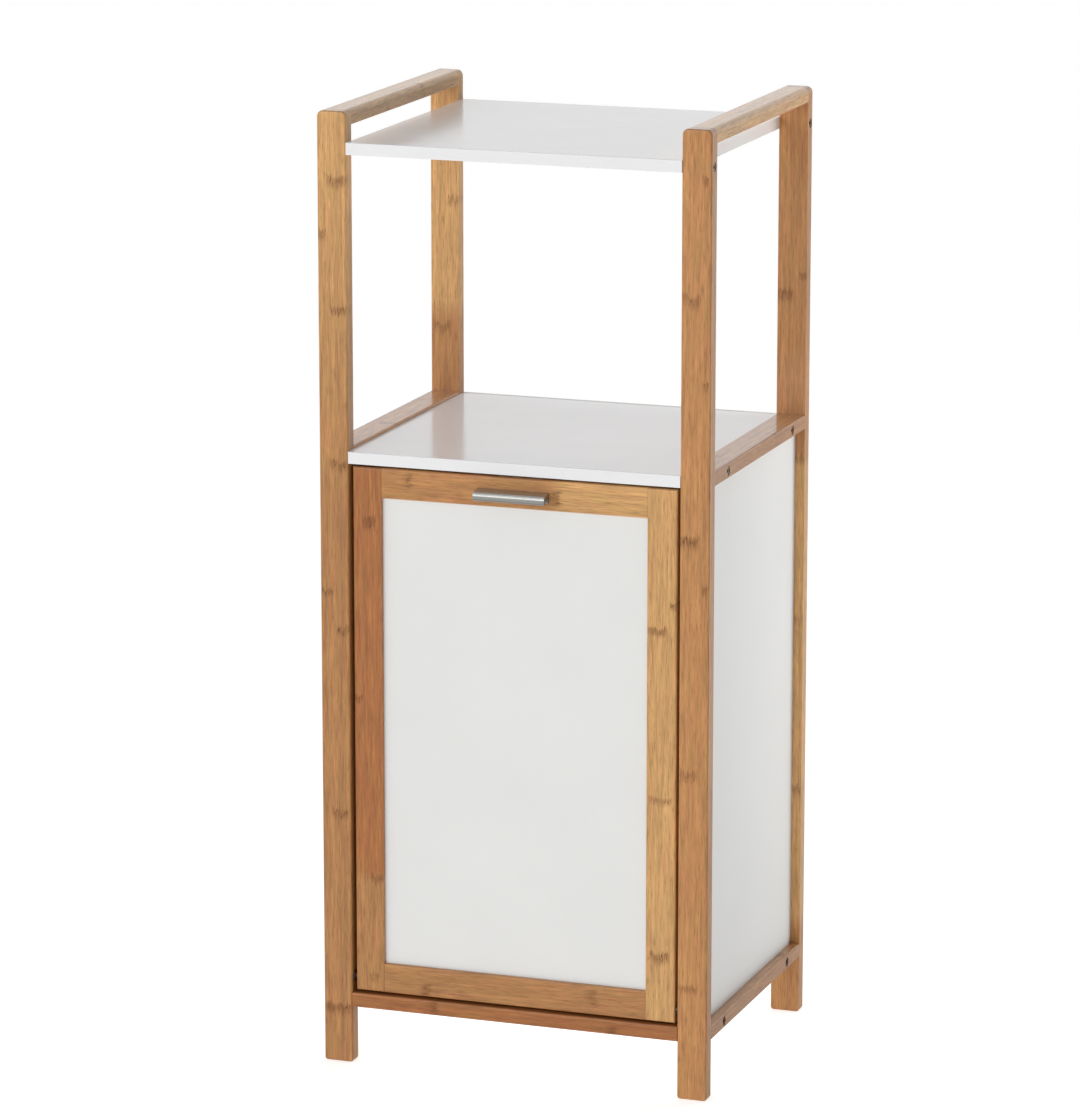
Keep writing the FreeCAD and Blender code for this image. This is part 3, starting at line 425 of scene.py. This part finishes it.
    # End grain, where the surface faces along the bar
    facing = add(tree, "ShaderNodeSeparateXYZ", {0: where["Normal"]})
    lengthwise = add(tree, "ShaderNodeMath", {0: facing[axes[0].upper()]}, operation="ABSOLUTE")[0]
    at_end = add(tree, "ShaderNodeMapRange", {"Value": lengthwise, "From Min": 0.3, "From Max": 0.8})[0]
    pores = add(tree, "ShaderNodeTexVoronoi", {
        "Vector": grain, "Scale": MM / finish.pore_spacing})["Distance"]
    pored = add(tree, "ShaderNodeMapRange", {
        "Value": pores, "From Min": 0.2, "From Max": 0.45, "To Min": 0.75, "To Max": 0.3})[0]
    end_colour = add(tree, "ShaderNodeMix", {
        MIX_FACTOR: pored, MIX_FIRST: strips, MIX_SECOND: finish.scar}, data_type="RGBA")[MIX_RESULT]
    whole = add(tree, "ShaderNodeMix", {
        MIX_FACTOR: at_end, MIX_FIRST: browned, MIX_SECOND: end_colour}, data_type="RGBA")[MIX_RESULT]
    tree.links.new(whole, shader.inputs["Base Color"])

    work_in(tree, shader, hairs, roughness=(finish.roughness - 0.08, finish.roughness + 0.08))
    raised = add(tree, "ShaderNodeMath", {0: mask, 1: 0.6, 2: hairs}, operation="MULTIPLY_ADD")[0]
    work_in(tree, shader, raised, relief=(0.1, 0.4))
    return material


def white_lacquer(finish):
    """Fibreboard sprayed with white lacquer: a clear reflection, softened by the ripple of spraying."""
    material, tree, shader, where = new_material("white_lacquer", IOR=1.5)
    ripple = add(tree, "ShaderNodeTexNoise", {
        "Vector": where["Object"], "Scale": 1 / finish.ripple, "Detail": 2})["Fac"]
    cloud = add(tree, "ShaderNodeTexNoise", {
        "Vector": where["Object"], "Scale": 1 / finish.lacquer_cloud, "Detail": 3})["Fac"]
    work_in(tree, shader, cloud, finish.lacquer, (0.975, 1), within=(0.3, 0.7), roughness=(0.12, 0.2))
    work_in(tree, shader, ripple, relief=(0.04, 0.4))
    return material


def matt_foil(finish):
    """Fibreboard with a matt white foil: an even off-white with a fine pressed grain and hardly any gloss."""
    material, tree, shader, where = new_material("matt_foil", IOR=1.45)
    grain = add(tree, "ShaderNodeTexNoise", {
        "Vector": where["Object"], "Scale": 1 / finish.foil_grain, "Detail": 2})["Fac"]
    cloud = add(tree, "ShaderNodeTexNoise", {
        "Vector": where["Object"], "Scale": 1 / finish.foil_cloud, "Detail": 4})["Fac"]
    mottle = add(tree, "ShaderNodeMath", {0: grain, 1: 0.5, 2: cloud}, operation="MULTIPLY_ADD")[0]
    work_in(tree, shader, mottle, finish.foil, (0.965, 1), within=(0.45, 1.05))
    work_in(tree, shader, grain, roughness=(0.5, 0.66), relief=(0.05, 0.35))
    return material


def anodised_aluminium(finish):
    """Extruded aluminium, brushed lengthwise and clear anodised: a soft, silky grey with fine lines.

    Real brush lines are about 0.1 mm wide, and are drawn at 0.5 mm so that they show.
    """
    material, tree, shader, where = new_material("anodised_aluminium", Metallic=1)
    line = (1 / (40 * MM), 1 / (0.5 * MM), 1 / (0.5 * MM))
    drawn = add(tree, "ShaderNodeMapping", {"Vector": where["Object"], "Scale": line})[0]
    lines = add(tree, "ShaderNodeTexNoise", {"Vector": drawn, "Scale": 1, "Detail": 3})["Fac"]
    work_in(tree, shader, lines, finish.aluminium, (0.9, 1.06), within=(0.25, 0.75), roughness=(0.26, 0.42),
            relief=(0.02, 0.4))
    return material


def metal_plate(name, shade):
    """Steel with a thin plating of zinc or bronze: a dull metal shine, a little cloudy, with fine scuffs."""
    return speckled(name, shade, grain=3, detail=4, values=(0.8, 1.12), roughness=(0.24, 0.5), Metallic=1)


def moulded_nylon(name, shade):
    """Injection-moulded nylon: half matt, with the mould's spark texture, which is drawn coarser to show."""
    return speckled(name, shade, grain=0.8, detail=2, values=(0.94, 1.02), relief=(0.05, 0.4), IOR=1.53,
                    Roughness=0.45)


def sintered_ferrite(finish):
    """Sintered ferrite: a dark, dull ceramic with a gritty ground surface, its grit drawn coarser to show."""
    material, tree, shader, where = new_material("sintered_ferrite", IOR=2.2, Roughness=0.6)
    grit = add(tree, "ShaderNodeTexVoronoi", {
        "Vector": where["Object"], "Scale": 1 / (0.7 * MM)})["Distance"]
    work_in(tree, shader, grit, finish.ferrite, (0.75, 1.3), relief=(0.1, 0.4))
    return material


def powder_coat(finish):
    """Steel wire with white powder coat: half gloss, with the slight orange-peel ripple of baked powder."""
    return speckled("powder_coat", finish.enamel, grain=1.6, detail=1, values=(0.95, 1.02),
                    relief=(0.06, 0.5), IOR=1.5, Roughness=0.32)


def turned_beech(finish):
    """Turned beech: plain pinkish wood, dull, with short darker flecks."""
    return speckled("turned_beech", finish.beech, grain=1.5, detail=3, values=(0.75, 1.15),
                    relief=(0.1, 0.4), IOR=1.5, Roughness=0.62)


def cotton_canvas(bag):
    """Unbleached cotton canvas in plain weave: matt, with threads crossing over and under, painted shade
    between the threads, and slubs.
    """
    material, tree, shader, where = new_material("cotton_canvas", Roughness=0.9, Sheen_Weight=0.25,
                                                 Sheen_Roughness=0.5, Specular_IOR_Level=0.2)
    threads = add(tree, "ShaderNodeMapping", {
        "Vector": where["UV"], "Scale": (1 / bag.thread_spacing,) * 3})[0]
    over = add(tree, "ShaderNodeTexChecker", {"Vector": threads, "Scale": 1})["Fac"]
    split = add(tree, "ShaderNodeSeparateXYZ", {0: threads})
    ridges = []
    for axis in "XY":
        angle = add(tree, "ShaderNodeMath", {0: split[axis], 1: math.pi}, operation="MULTIPLY")[0]
        wave = add(tree, "ShaderNodeMath", {0: angle}, operation="SINE")[0]
        ridges.append(add(tree, "ShaderNodeMath", {0: wave}, operation="ABSOLUTE")[0])
    # The weave's colour: painted shade darkens the canvas where the ridge of the upper thread falls away
    ridge = add(tree, "ShaderNodeMix", {MIX_FACTOR: over, MIX_LOW: ridges[0], MIX_HIGH: ridges[1]})[0]
    woven = add(tree, "ShaderNodeMix", {
        MIX_FACTOR: ridge, MIX_FIRST: bag.weave_shade, MIX_SECOND: bag.canvas}, data_type="RGBA")[MIX_RESULT]
    slub = add(tree, "ShaderNodeTexNoise", {"Vector": threads, "Scale": 0.12, "Detail": 3})["Fac"]
    work_in(tree, shader, slub, woven, (0.92, 1.05), within=(0.3, 0.7))
    work_in(tree, shader, ridge, relief=(0.25, 0.5))
    return material


def cotton_thread(bag):
    """Cotton sewing thread: matt and pale, with the slanting lines of its twist painted as darker shade."""
    material, tree, shader, where = new_material("cotton_thread", Roughness=0.8, Sheen_Weight=0.2)
    # Painted shade in the grooves of the twist: darker slanting lines
    twist = add(tree, "ShaderNodeTexWave", {
        "Vector": where["Object"], "Scale": 1 / (4 * bag.thread_radius), "Distortion": 1},
        bands_direction="DIAGONAL")["Fac"]
    work_in(tree, shader, twist, bag.thread, (0.82, 1))
    return material


def lit_table(studio):
    """A white translucent table lit from below, as in a product studio: pale and even."""
    return speckled("lit_table", studio.floor, grain=500, detail=2, values=(0.98, 1), Roughness=0.7,
                    Specular_IOR_Level=0.1, Emission_Color=(1, 1, 1, 1), Emission_Strength=studio.floor_glow)


def new_piece(name, mesh, material):
    """Links a mesh into the scene as a piece at the origin."""
    piece = bpy.data.objects.new(name, mesh)
    bpy.context.scene.collection.objects.link(piece)
    if not mesh.materials:
        mesh.materials.append(material)
    mesh.shade_smooth()
    return piece


class BagShape:
    """The bag's places, worked out from the box of its CAD solid, which its hems reach on all sides."""

    # The cloth's mesh
    COLUMNS = 176
    WALL_ROWS = 58
    BEND_ROWS = 5
    FLOOR_ROWS = 12
    SIDES = 4

    # The cut: rise of the floor, gap under the hems, and least corner and inset of the floor's rings
    FLOOR_RISE = 4 * MM
    MOUTH_GAP = MM
    LEAST_CORNER = 2 * MM
    CENTRE_INSET = 7 * MM

    # The loose folds: how many go round the bag, how many kinds are mixed, and their seed
    FOLD_COUNTS = (5, 7, 8, 11, 13)
    FOLD_KINDS = 5
    FOLD_SEED = 11

    # The hems: how far the tunnel stays inside its radius, and the share of the fall where it is sewn
    TUNNEL_INSET = 0.9 * MM
    SEWN_AT = 0.82

    def __init__(self, bag):
        low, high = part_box("laundry_bag")
        self.bag = bag
        self.half_width = (high.x - low.x) / 2 - bag.hem_radius
        self.half_depth = (high.y - low.y) / 2 - bag.hem_radius
        self.middle = Vector(((low.x + high.x) / 2, (low.y + high.y) / 2))
        self.wire_z = high.z - bag.hem_radius
        self.floor_z = low.z + self.FLOOR_RISE
        self.mouth_z = self.wire_z - bag.hem_radius - self.MOUTH_GAP
        self.wall = self.mouth_z - self.floor_z - bag.bottom_round
        self.flap = 1.1 * bag.thickness

    def side(self, number):
        """Outward direction, direction along, reach and straight run of one of the four sides."""
        turn = number * math.pi / 2
        facing = Vector((math.cos(turn), math.sin(turn)))
        ahead = Vector((-math.sin(turn), math.cos(turn)))
        reach, half_run = self.half_width, self.half_depth
        if number % 2:
            reach, half_run = half_run, reach
        return facing, ahead, reach, 2 * (half_run - self.bag.corner)

    def girth(self):
        """Length round the bag's mouth."""
        return sum(self.side(number)[3] for number in range(self.SIDES)) + 2 * math.pi * self.bag.corner

    def ring(self, inset):
        """Evenly spaced points, with outward directions, round the rectangle of the bag drawn in by inset."""
        radius = max(self.bag.corner - inset, self.LEAST_CORNER)
        longer = 2 * (self.bag.corner - inset - radius)
        sides = []
        for number in range(self.SIDES):
            facing, ahead, reach, run = self.side(number)
            sides.append((facing, ahead, reach - inset - radius, run + longer))
        bend = radius * math.pi / 2
        girth = sum(side[3] for side in sides) + self.SIDES * bend
        points = []
        for column in range(self.COLUMNS):
            left = girth * column / self.COLUMNS
            number = 0
            while left > sides[number][3] + bend:
                left -= sides[number][3] + bend
                number += 1
            facing, ahead, reach, run = sides[number]
            turn = max(left - run, 0) / radius
            out = facing * math.cos(turn) + ahead * math.sin(turn)
            spot = self.middle + facing * reach + ahead * (min(left, run) - run / 2) + out * radius
            points.append((spot, out))
        return points

    def rear_column(self):
        """The column of points halfway along the rear wall."""
        run, rear_run = self.side(0)[3], self.side(1)[3]
        along = run + self.bag.corner * math.pi / 2 + rear_run / 2
        return round(self.COLUMNS * along / self.girth())


def lay_cloth(cloth, cut, rows, marks):
    """Adds a grid of cloth to a mesh from rows of points, and marks each corner's place on the flat cut.

    A grid whose marks have one more column than its points is closed into a tube.
    """
    grid = [[cloth.verts.new(point) for point in row] for row in rows]
    for row in range(1, len(grid)):
        for column in range(1, len(marks[row])):
            corners = ((row - 1, column), (row - 1, column - 1), (row, column - 1), (row, column))
            face = cloth.faces.new([grid[up][across % len(grid[up])] for up, across in corners])
            for loop, (up, across) in zip(face.loops, corners):
                loop[cut].uv = marks[up][across]
    return grid


def bag_shell(shape):
    """The bag's cloth as one lofted shell: a scooped mouth, loosely folded walls and a rounded floor."""
    bag = shape.bag
    draw = random.Random(shape.FOLD_SEED)
    waves = [(draw.choice(shape.FOLD_COUNTS), draw.uniform(0, 2 * math.pi), draw.uniform(0.4, 1))
             for _ in range(shape.FOLD_KINDS)]
    levels = [(0, shape.mouth_z - shape.wall * row / shape.WALL_ROWS) for row in range(shape.WALL_ROWS + 1)]
    for row in range(1, shape.BEND_ROWS + 1):
        turn = math.pi / 2 * row / shape.BEND_ROWS
        levels.append((bag.bottom_round * (1 - math.cos(turn)),
                       shape.floor_z + bag.bottom_round * (1 - math.sin(turn))))
    innermost = shape.half_depth - shape.CENTRE_INSET
    for row in range(1, shape.FLOOR_ROWS + 1):
        inwards = (innermost - bag.bottom_round) * row / shape.FLOOR_ROWS
        levels.append((bag.bottom_round + inwards, shape.floor_z))
    rows, marks = [], []
    drop = 0
    for row, (inset, level) in enumerate(levels):
        fallen = min(row / shape.WALL_ROWS, 1)
        loose = math.sin(fallen * math.pi * 0.8) if inset == 0 else 0
        ring = []
        for column, (point, out) in enumerate(shape.ring(inset)):
            around = 2 * math.pi * column / shape.COLUMNS
            ripple = sum(size * math.sin(count * around + phase) for count, phase, size in waves) / len(waves)
            scoop = bag.scoop * (2 * out.x * out.y) ** 2 * (1 - fallen) ** 8
            spot = point + out * bag.fold * loose * ripple
            ring.append((*spot, level - scoop))
        rows.append(ring)
        if row:
            drop += (Vector(levels[row]) - Vector(levels[row - 1])).length
        marks.append([(shape.girth() * column / shape.COLUMNS, drop) for column in range(shape.COLUMNS + 1)])
    shell = bmesh.new()
    cut = shell.loops.layers.uv.new("cut")
    grid = lay_cloth(shell, cut, rows, marks)
    centre = shell.faces.new(grid[-1])
    for loop in centre.loops:
        loop[cut].uv = loop.vert.co.xy
    bmesh.ops.triangulate(shell, faces=[centre])
    bmesh.ops.recalc_face_normals(shell, faces=shell.faces)
    mesh = bpy.data.meshes.new("laundry_bag_canvas")
    shell.to_mesh(mesh)
    shell.free()
    return mesh


def hang(piece, shape):
    """Lets the shell hang from its mouth under its own weight, and keeps the result as its mesh."""
    scene = bpy.context.scene
    mouth = piece.vertex_groups.new(name="mouth")
    mouth.add(range(2 * shape.COLUMNS), 1, "REPLACE")
    cloth = piece.modifiers.new("Hang", "CLOTH")
    cloth.settings.vertex_group_mass = mouth.name
    for setting, value in HANGING.items():
        setattr(cloth.settings, setting, value)
    cloth.settings.shrink_min = -shape.bag.ease
    cloth.collision_settings.use_collision = False
    cloth.point_cache.frame_end = shape.bag.frames
    for step in range(1, shape.bag.frames + 1):
        scene.frame_set(step)
    hung = piece.evaluated_get(bpy.context.evaluated_depsgraph_get())
    fallen = [vertex.co.copy() for vertex in hung.data.vertices]
    piece.modifiers.remove(cloth)
    piece.vertex_groups.remove(mouth)
    for vertex, spot in zip(piece.data.vertices, fallen):
        move = spot - vertex.co
        move.length = min(move.length, shape.bag.most_sway)
        vertex.co += move
    scene.frame_set(1)


def hem_sleeves(shape):
    """Tunnel hems round the four straight wires, each folded over its wire with a flap on both sides."""
    bag = shape.bag
    steps, turns = 48, 10
    radius = bag.hem_radius - shape.TUNNEL_INSET
    profile = []
    for step in range(turns + 1):
        below = bag.hem_fall * (1 - step / turns)
        closing = 0.5 + 0.5 * math.cos(math.pi * min(below / (0.6 * bag.hem_fall), 1))
        profile.append((-shape.flap - (radius - shape.flap) * closing, -below))
    for step in range(1, turns):
        turn = math.pi * step / turns
        profile.append((-radius * math.cos(turn), radius * math.sin(turn)))
    profile += [(-offset, height) for offset, height in reversed(profile[:turns + 1])]
    sleeves = bmesh.new()
    cut = sleeves.loops.layers.uv.new("cut")
    for number in range(shape.SIDES):
        facing, ahead, reach, run = shape.side(number)
        rows, marks = [], []
        for row, (offset, height) in enumerate(profile):
            places = [run * step / steps for step in range(steps + 1)]
            spots = [shape.middle + facing * (reach + offset) + ahead * (along - run / 2) for along in places]
            rows.append([(*spot, shape.wire_z + height) for spot in spots])
            marks.append([(along, bag.hem_fall * row / turns) for along in places])
        lay_cloth(sleeves, cut, rows, marks)
    bmesh.ops.recalc_face_normals(sleeves, faces=sleeves.faces)
    mesh = bpy.data.meshes.new("laundry_bag_hems")
    sleeves.to_mesh(mesh)
    sleeves.free()
    return mesh


def seam_paths(shape, canvas):
    """Lines that the sewing follows: both flaps of each hem, the rear seam and the seam round the floor."""
    bag = shape.bag
    proud = bag.thickness / 2 + bag.thread_radius / 3
    paths = []
    for number in range(shape.SIDES):
        facing, ahead, reach, run = shape.side(number)
        for offset in (-1, 1):
            outwards = offset * (shape.flap + proud)
            ends = [shape.middle + facing * (reach + outwards) + ahead * half for half in (-run / 2, run / 2)]
            paths.append([Vector((*end, shape.wire_z - shape.SEWN_AT * bag.hem_fall)) for end in ends])
    verts = canvas.vertices
    foot = shape.WALL_ROWS * shape.COLUMNS
    floor_ring = [foot + column % shape.COLUMNS for column in range(shape.COLUMNS + 1)]
    rear = [row * shape.COLUMNS + shape.rear_column() for row in range(2, shape.WALL_ROWS + 1)]
    for line in (floor_ring, rear):
        paths.append([verts[index].co + verts[index].normal * proud for index in line])
    return paths


def stitch_tree():
    """Geometry nodes that set stitches of thread along the edges of a mesh."""
    tree = bpy.data.node_groups.new("stitches", "GeometryNodeTree")
    for name, kind in (("Geometry", "Geometry"), ("Stitch Length", "Float"), ("Stitch Gap", "Float"),
                       ("Thread Radius", "Float"), ("Thread", "Material")):
        tree.interface.new_socket(name, in_out="INPUT", socket_type=f"NodeSocket{kind}")
    tree.interface.new_socket("Geometry", in_out="OUTPUT", socket_type="NodeSocketGeometry")
    given = add(tree, "NodeGroupInput")
    lines = add(tree, "GeometryNodeMeshToCurve", {0: given["Geometry"]})[0]
    pitch = add(tree, "ShaderNodeMath", {0: given["Stitch Length"], 1: given["Stitch Gap"]})[0]
    spots = add(tree, "GeometryNodeCurveToPoints", {"Curve": lines, "Length": pitch}, mode="LENGTH")
    half = add(tree, "ShaderNodeMath", {0: given["Stitch Length"], 1: 0.5}, operation="MULTIPLY")[0]
    size = add(tree, "ShaderNodeCombineXYZ", {
        "X": given["Thread Radius"], "Y": given["Thread Radius"], "Z": half})[0]
    bead = add(tree, "GeometryNodeMeshUVSphere", {"Segments": 6, "Rings": 5, "Radius": 1})["Mesh"]
    sewn = add(tree, "GeometryNodeInstanceOnPoints", {
        "Points": spots["Points"], "Instance": bead, "Rotation": spots["Rotation"], "Scale": size})[0]
    real = add(tree, "GeometryNodeRealizeInstances", {0: sewn})[0]
    dyed = add(tree, "GeometryNodeSetMaterial", {"Geometry": real, "Material": given["Thread"]})[0]
    add(tree, "NodeGroupOutput", {"Geometry": dyed})
    return tree


def sew(name, paths, bag, thread):
    """Stitches along paths, as one plain mesh."""
    points, edges = [], []
    for path in paths:
        edges += [(len(points) + step, len(points) + step + 1) for step in range(len(path) - 1)]
        points += path
    lines = bpy.data.meshes.new("seam_lines")
    lines.from_pydata(points, edges, [])
    guide = bpy.data.objects.new("seam_lines", lines)
    bpy.context.scene.collection.objects.link(guide)
    tree = stitch_tree()
    sewing = guide.modifiers.new("Stitches", "NODES")
    sewing.node_group = tree
    wanted = {"Stitch Length": bag.stitch_length, "Stitch Gap": bag.stitch_gap,
              "Thread Radius": bag.thread_radius, "Thread": thread}
    for socket in tree.interface.items_tree:
        if socket.in_out == "INPUT" and socket.name in wanted:
            sewing[socket.identifier] = wanted[socket.name]
    graph = bpy.context.evaluated_depsgraph_get()
    mesh = bpy.data.meshes.new_from_object(guide.evaluated_get(graph), depsgraph=graph)
    mesh.name = name
    bpy.data.objects.remove(guide)
    bpy.data.meshes.remove(lines)
    return new_piece(name, mesh, thread)


class CABINET_OT_bamboo_bars(bpy.types.Operator):
    """Gives every bamboo bar of the side frames and the door its laminated bamboo"""

    bl_idname = "cabinet.bamboo_bars"
    bl_label = "Bamboo bars"

    def execute(self, context):
        finish = context.scene.cabinet_bamboo
        scar_group = node_scar()
        for bar in BARS:
            dress(laminated_bamboo(bar, scar_group, finish), bar)
        return {"FINISHED"}


class CABINET_OT_white_boards(bpy.types.Operator):
    """Gives the shelves their lacquer and the panels their foil"""

    bl_idname = "cabinet.white_boards"
    bl_label = "White boards"

    def execute(self, context):
        finish = context.scene.cabinet_boards
        dress(white_lacquer(finish), *GLOSSY_BOARDS)
        dress(matt_foil(finish), *MATT_BOARDS)
        return {"FINISHED"}


class CABINET_OT_door_pull(bpy.types.Operator):
    """Gives the door's pull its brushed aluminium"""

    bl_idname = "cabinet.door_pull"
    bl_label = "Door pull"

    def execute(self, context):
        dress(anodised_aluminium(context.scene.cabinet_hardware), "door_pull")
        return {"FINISHED"}


class CABINET_OT_fasteners(bpy.types.Operator):
    """Gives the screws and plates their zinc and the dowels their beech"""

    bl_idname = "cabinet.fasteners"
    bl_label = "Fasteners"

    def execute(self, context):
        finish = context.scene.cabinet_hardware
        dress(metal_plate("zinc_plate", finish.zinc), *ZINC_PIECES)
        dress(turned_beech(finish), *DOWELS)
        return {"FINISHED"}


class CABINET_OT_pivots_and_catch(bpy.types.Operator):
    """Gives the door's pins their bronze, and the bushes and the magnetic catch their nylon and ferrite"""

    bl_idname = "cabinet.pivots_and_catch"
    bl_label = "Pivots and catch"

    def execute(self, context):
        finish = context.scene.cabinet_hardware
        dress(metal_plate("bronze_plate", finish.bronze), "pivot_pins")
        dress(moulded_nylon("brown_nylon", finish.bush), "pivot_bushes")
        dress(moulded_nylon("white_nylon", finish.housing), "catch_housing")
        dress(sintered_ferrite(finish), "catch_magnet")
        return {"FINISHED"}


class CABINET_OT_bag_frame(bpy.types.Operator):
    """Gives the bag's wire frame its powder coat"""

    bl_idname = "cabinet.bag_frame"
    bl_label = "Bag frame"

    def execute(self, context):
        dress(powder_coat(context.scene.cabinet_hardware), "bag_frame")
        return {"FINISHED"}


class CABINET_OT_laundry_bag(bpy.types.Operator):
    """Hangs the canvas bag in its wire frame, with its hems and sewing"""

    bl_idname = "cabinet.laundry_bag"
    bl_label = "Laundry bag"

    def execute(self, context):
        bag = context.scene.cabinet_bag
        shape = BagShape(bag)
        canvas = cotton_canvas(bag)
        piece = new_piece("laundry_bag_canvas", bag_shell(shape), canvas)
        hang(piece, shape)
        hems = new_piece("laundry_bag_hems", hem_sleeves(shape), canvas)
        paths = seam_paths(shape, piece.data)
        stitches = sew("laundry_bag_stitches", paths, bag, cotton_thread(bag))
        for cloth in (piece, hems):
            wall = cloth.modifiers.new("Thickness", "SOLIDIFY")
            wall.thickness = bag.thickness
            wall.offset = 0
        for soft in (piece, hems, stitches):
            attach(soft, "door")
        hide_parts("laundry_bag")
        return {"FINISHED"}


class CABINET_OT_studio(bpy.types.Operator):
    """Sets up the lit table, the white surround, the lamps and the camera"""

    bl_idname = "cabinet.studio"
    bl_label = "Studio"

    def execute(self, context):
        scene = context.scene
        studio = scene.cabinet_studio
        scene.view_settings.view_transform = "Standard"
        self.lay_floor(studio)
        self.light(scene, studio)
        camera = bpy.data.objects.new("camera", bpy.data.cameras.new("camera"))
        camera.data.lens = studio.lens
        camera.location = studio.eye
        camera.rotation_euler = (math.pi / 2 - studio.pitch, 0, studio.yaw)
        scene.collection.objects.link(camera)
        scene.camera = camera
        return {"FINISHED"}

    @staticmethod
    def lay_floor(studio):
        """A table top past the horizon on all sides, which gloss doesn't mirror."""
        mesh = bpy.data.meshes.new("table")
        corners = [(TABLE_REACH * x, TABLE_REACH * y, 0) for x, y in ((-1, -1), (1, -1), (1, 1), (-1, 1))]
        mesh.from_pydata(corners, [], [(0, 1, 2, 3)])
        table = new_piece("table", mesh, lit_table(studio))
        table.visible_glossy = False

    @staticmethod
    def light(scene, studio):
        """A white surround, bright at the horizon, dimmer overhead and on the right, and four soft lamps.

        The key lights the front, the edge lamp the right rear and the top lamp the shelves, and the strip
        overhead shows in gloss alone.
        """
        world = scene.world or bpy.data.worlds.new("surround")
        scene.world = world
        world.use_nodes = True
        tree = world.node_tree
        background = tree.nodes["Background"]
        # The parts of a direction run from -1 to 1
        direction = add(tree, "ShaderNodeTexCoord")["Generated"]
        split = add(tree, "ShaderNodeSeparateXYZ", {0: direction})
        horizon = add(tree, "ShaderNodeMapRange", {
            "Value": split["Y"], "From Min": 0.4, "From Max": 0.9, "To Min": studio.surround,
            "To Max": studio.backdrop}, interpolation_type="SMOOTHSTEP")[0]
        strength = add(tree, "ShaderNodeMapRange", {
            "Value": split["Z"], "From Min": 0.3, "From Max": 0.65, "To Min": horizon,
            "To Max": studio.ceiling}, interpolation_type="SMOOTHSTEP")[0]
        for axis, start, end, first, last in (("X", 0.2, 0.8, 1, studio.right),
                                              ("Z", -0.12, 0, studio.below, 1)):
            kept = add(tree, "ShaderNodeMapRange", {
                "Value": split[axis], "From Min": start, "From Max": end, "To Min": first, "To Max": last},
                interpolation_type="SMOOTHSTEP")[0]
            strength = add(tree, "ShaderNodeMath", {0: strength, 1: kept}, operation="MULTIPLY")[0]
        background.inputs["Color"].default_value = (1, 1, 1, 1)
        tree.links.new(strength, background.inputs["Strength"])
        for name, (width, height, place, aim, matt, gloss) in LAMPS.items():
            lamp = bpy.data.objects.new(name, bpy.data.lights.new(name, "AREA"))
            lamp.data.energy = getattr(studio, f"{name}_power")
            lamp.data.shape = "RECTANGLE"
            lamp.data.size = width
            lamp.data.size_y = height
            lamp.location = place
            lamp.rotation_euler = (Vector(aim) - Vector(place)).to_track_quat("-Z", "Y").to_euler()
            lamp.visible_camera = False
            lamp.visible_diffuse = matt
            lamp.visible_glossy = gloss
            scene.collection.objects.link(lamp)


OPERATORS = (CABINET_OT_bamboo_bars, CABINET_OT_white_boards, CABINET_OT_door_pull, CABINET_OT_fasteners,
             CABINET_OT_pivots_and_catch, CABINET_OT_bag_frame, CABINET_OT_laundry_bag, CABINET_OT_studio)


class CABINET_PT_sidebar(bpy.types.Panel):
    """Lists the steps that finish the cabinet"""

    bl_idname = "CABINET_PT_sidebar"
    bl_label = "Bathroom cabinet"
    bl_space_type = "VIEW_3D"
    bl_region_type = "UI"
    bl_category = "Cabinet"

    def draw(self, context):
        for operator in OPERATORS:
            self.layout.operator(operator.bl_idname)


SETTINGS = {
    "cabinet_bamboo": BambooFinish,
    "cabinet_boards": BoardFinish,
    "cabinet_hardware": HardwareFinish,
    "cabinet_bag": BagCloth,
    "cabinet_studio": Studio,
}


def register():
    """Adds the settings, steps and sidebar panel to Blender."""
    for kind in (*SETTINGS.values(), *OPERATORS, CABINET_PT_sidebar):
        bpy.utils.register_class(kind)
    for name, kind in SETTINGS.items():
        setattr(bpy.types.Scene, name, bpy.props.PointerProperty(type=kind))


def unregister():
    """Takes them out again."""
    for name in SETTINGS:
        delattr(bpy.types.Scene, name)
    for kind in (CABINET_PT_sidebar, *reversed(OPERATORS), *SETTINGS.values()):
        bpy.utils.unregister_class(kind)


def main():
    """Finishes the cabinet step by step."""
    register()
    bpy.ops.cabinet.bamboo_bars()
    bpy.ops.cabinet.white_boards()
    bpy.ops.cabinet.door_pull()
    bpy.ops.cabinet.fasteners()
    bpy.ops.cabinet.pivots_and_catch()
    bpy.ops.cabinet.bag_frame()
    bpy.ops.cabinet.laundry_bag()
    bpy.ops.cabinet.studio()


if __name__ == "__main__":
    main()
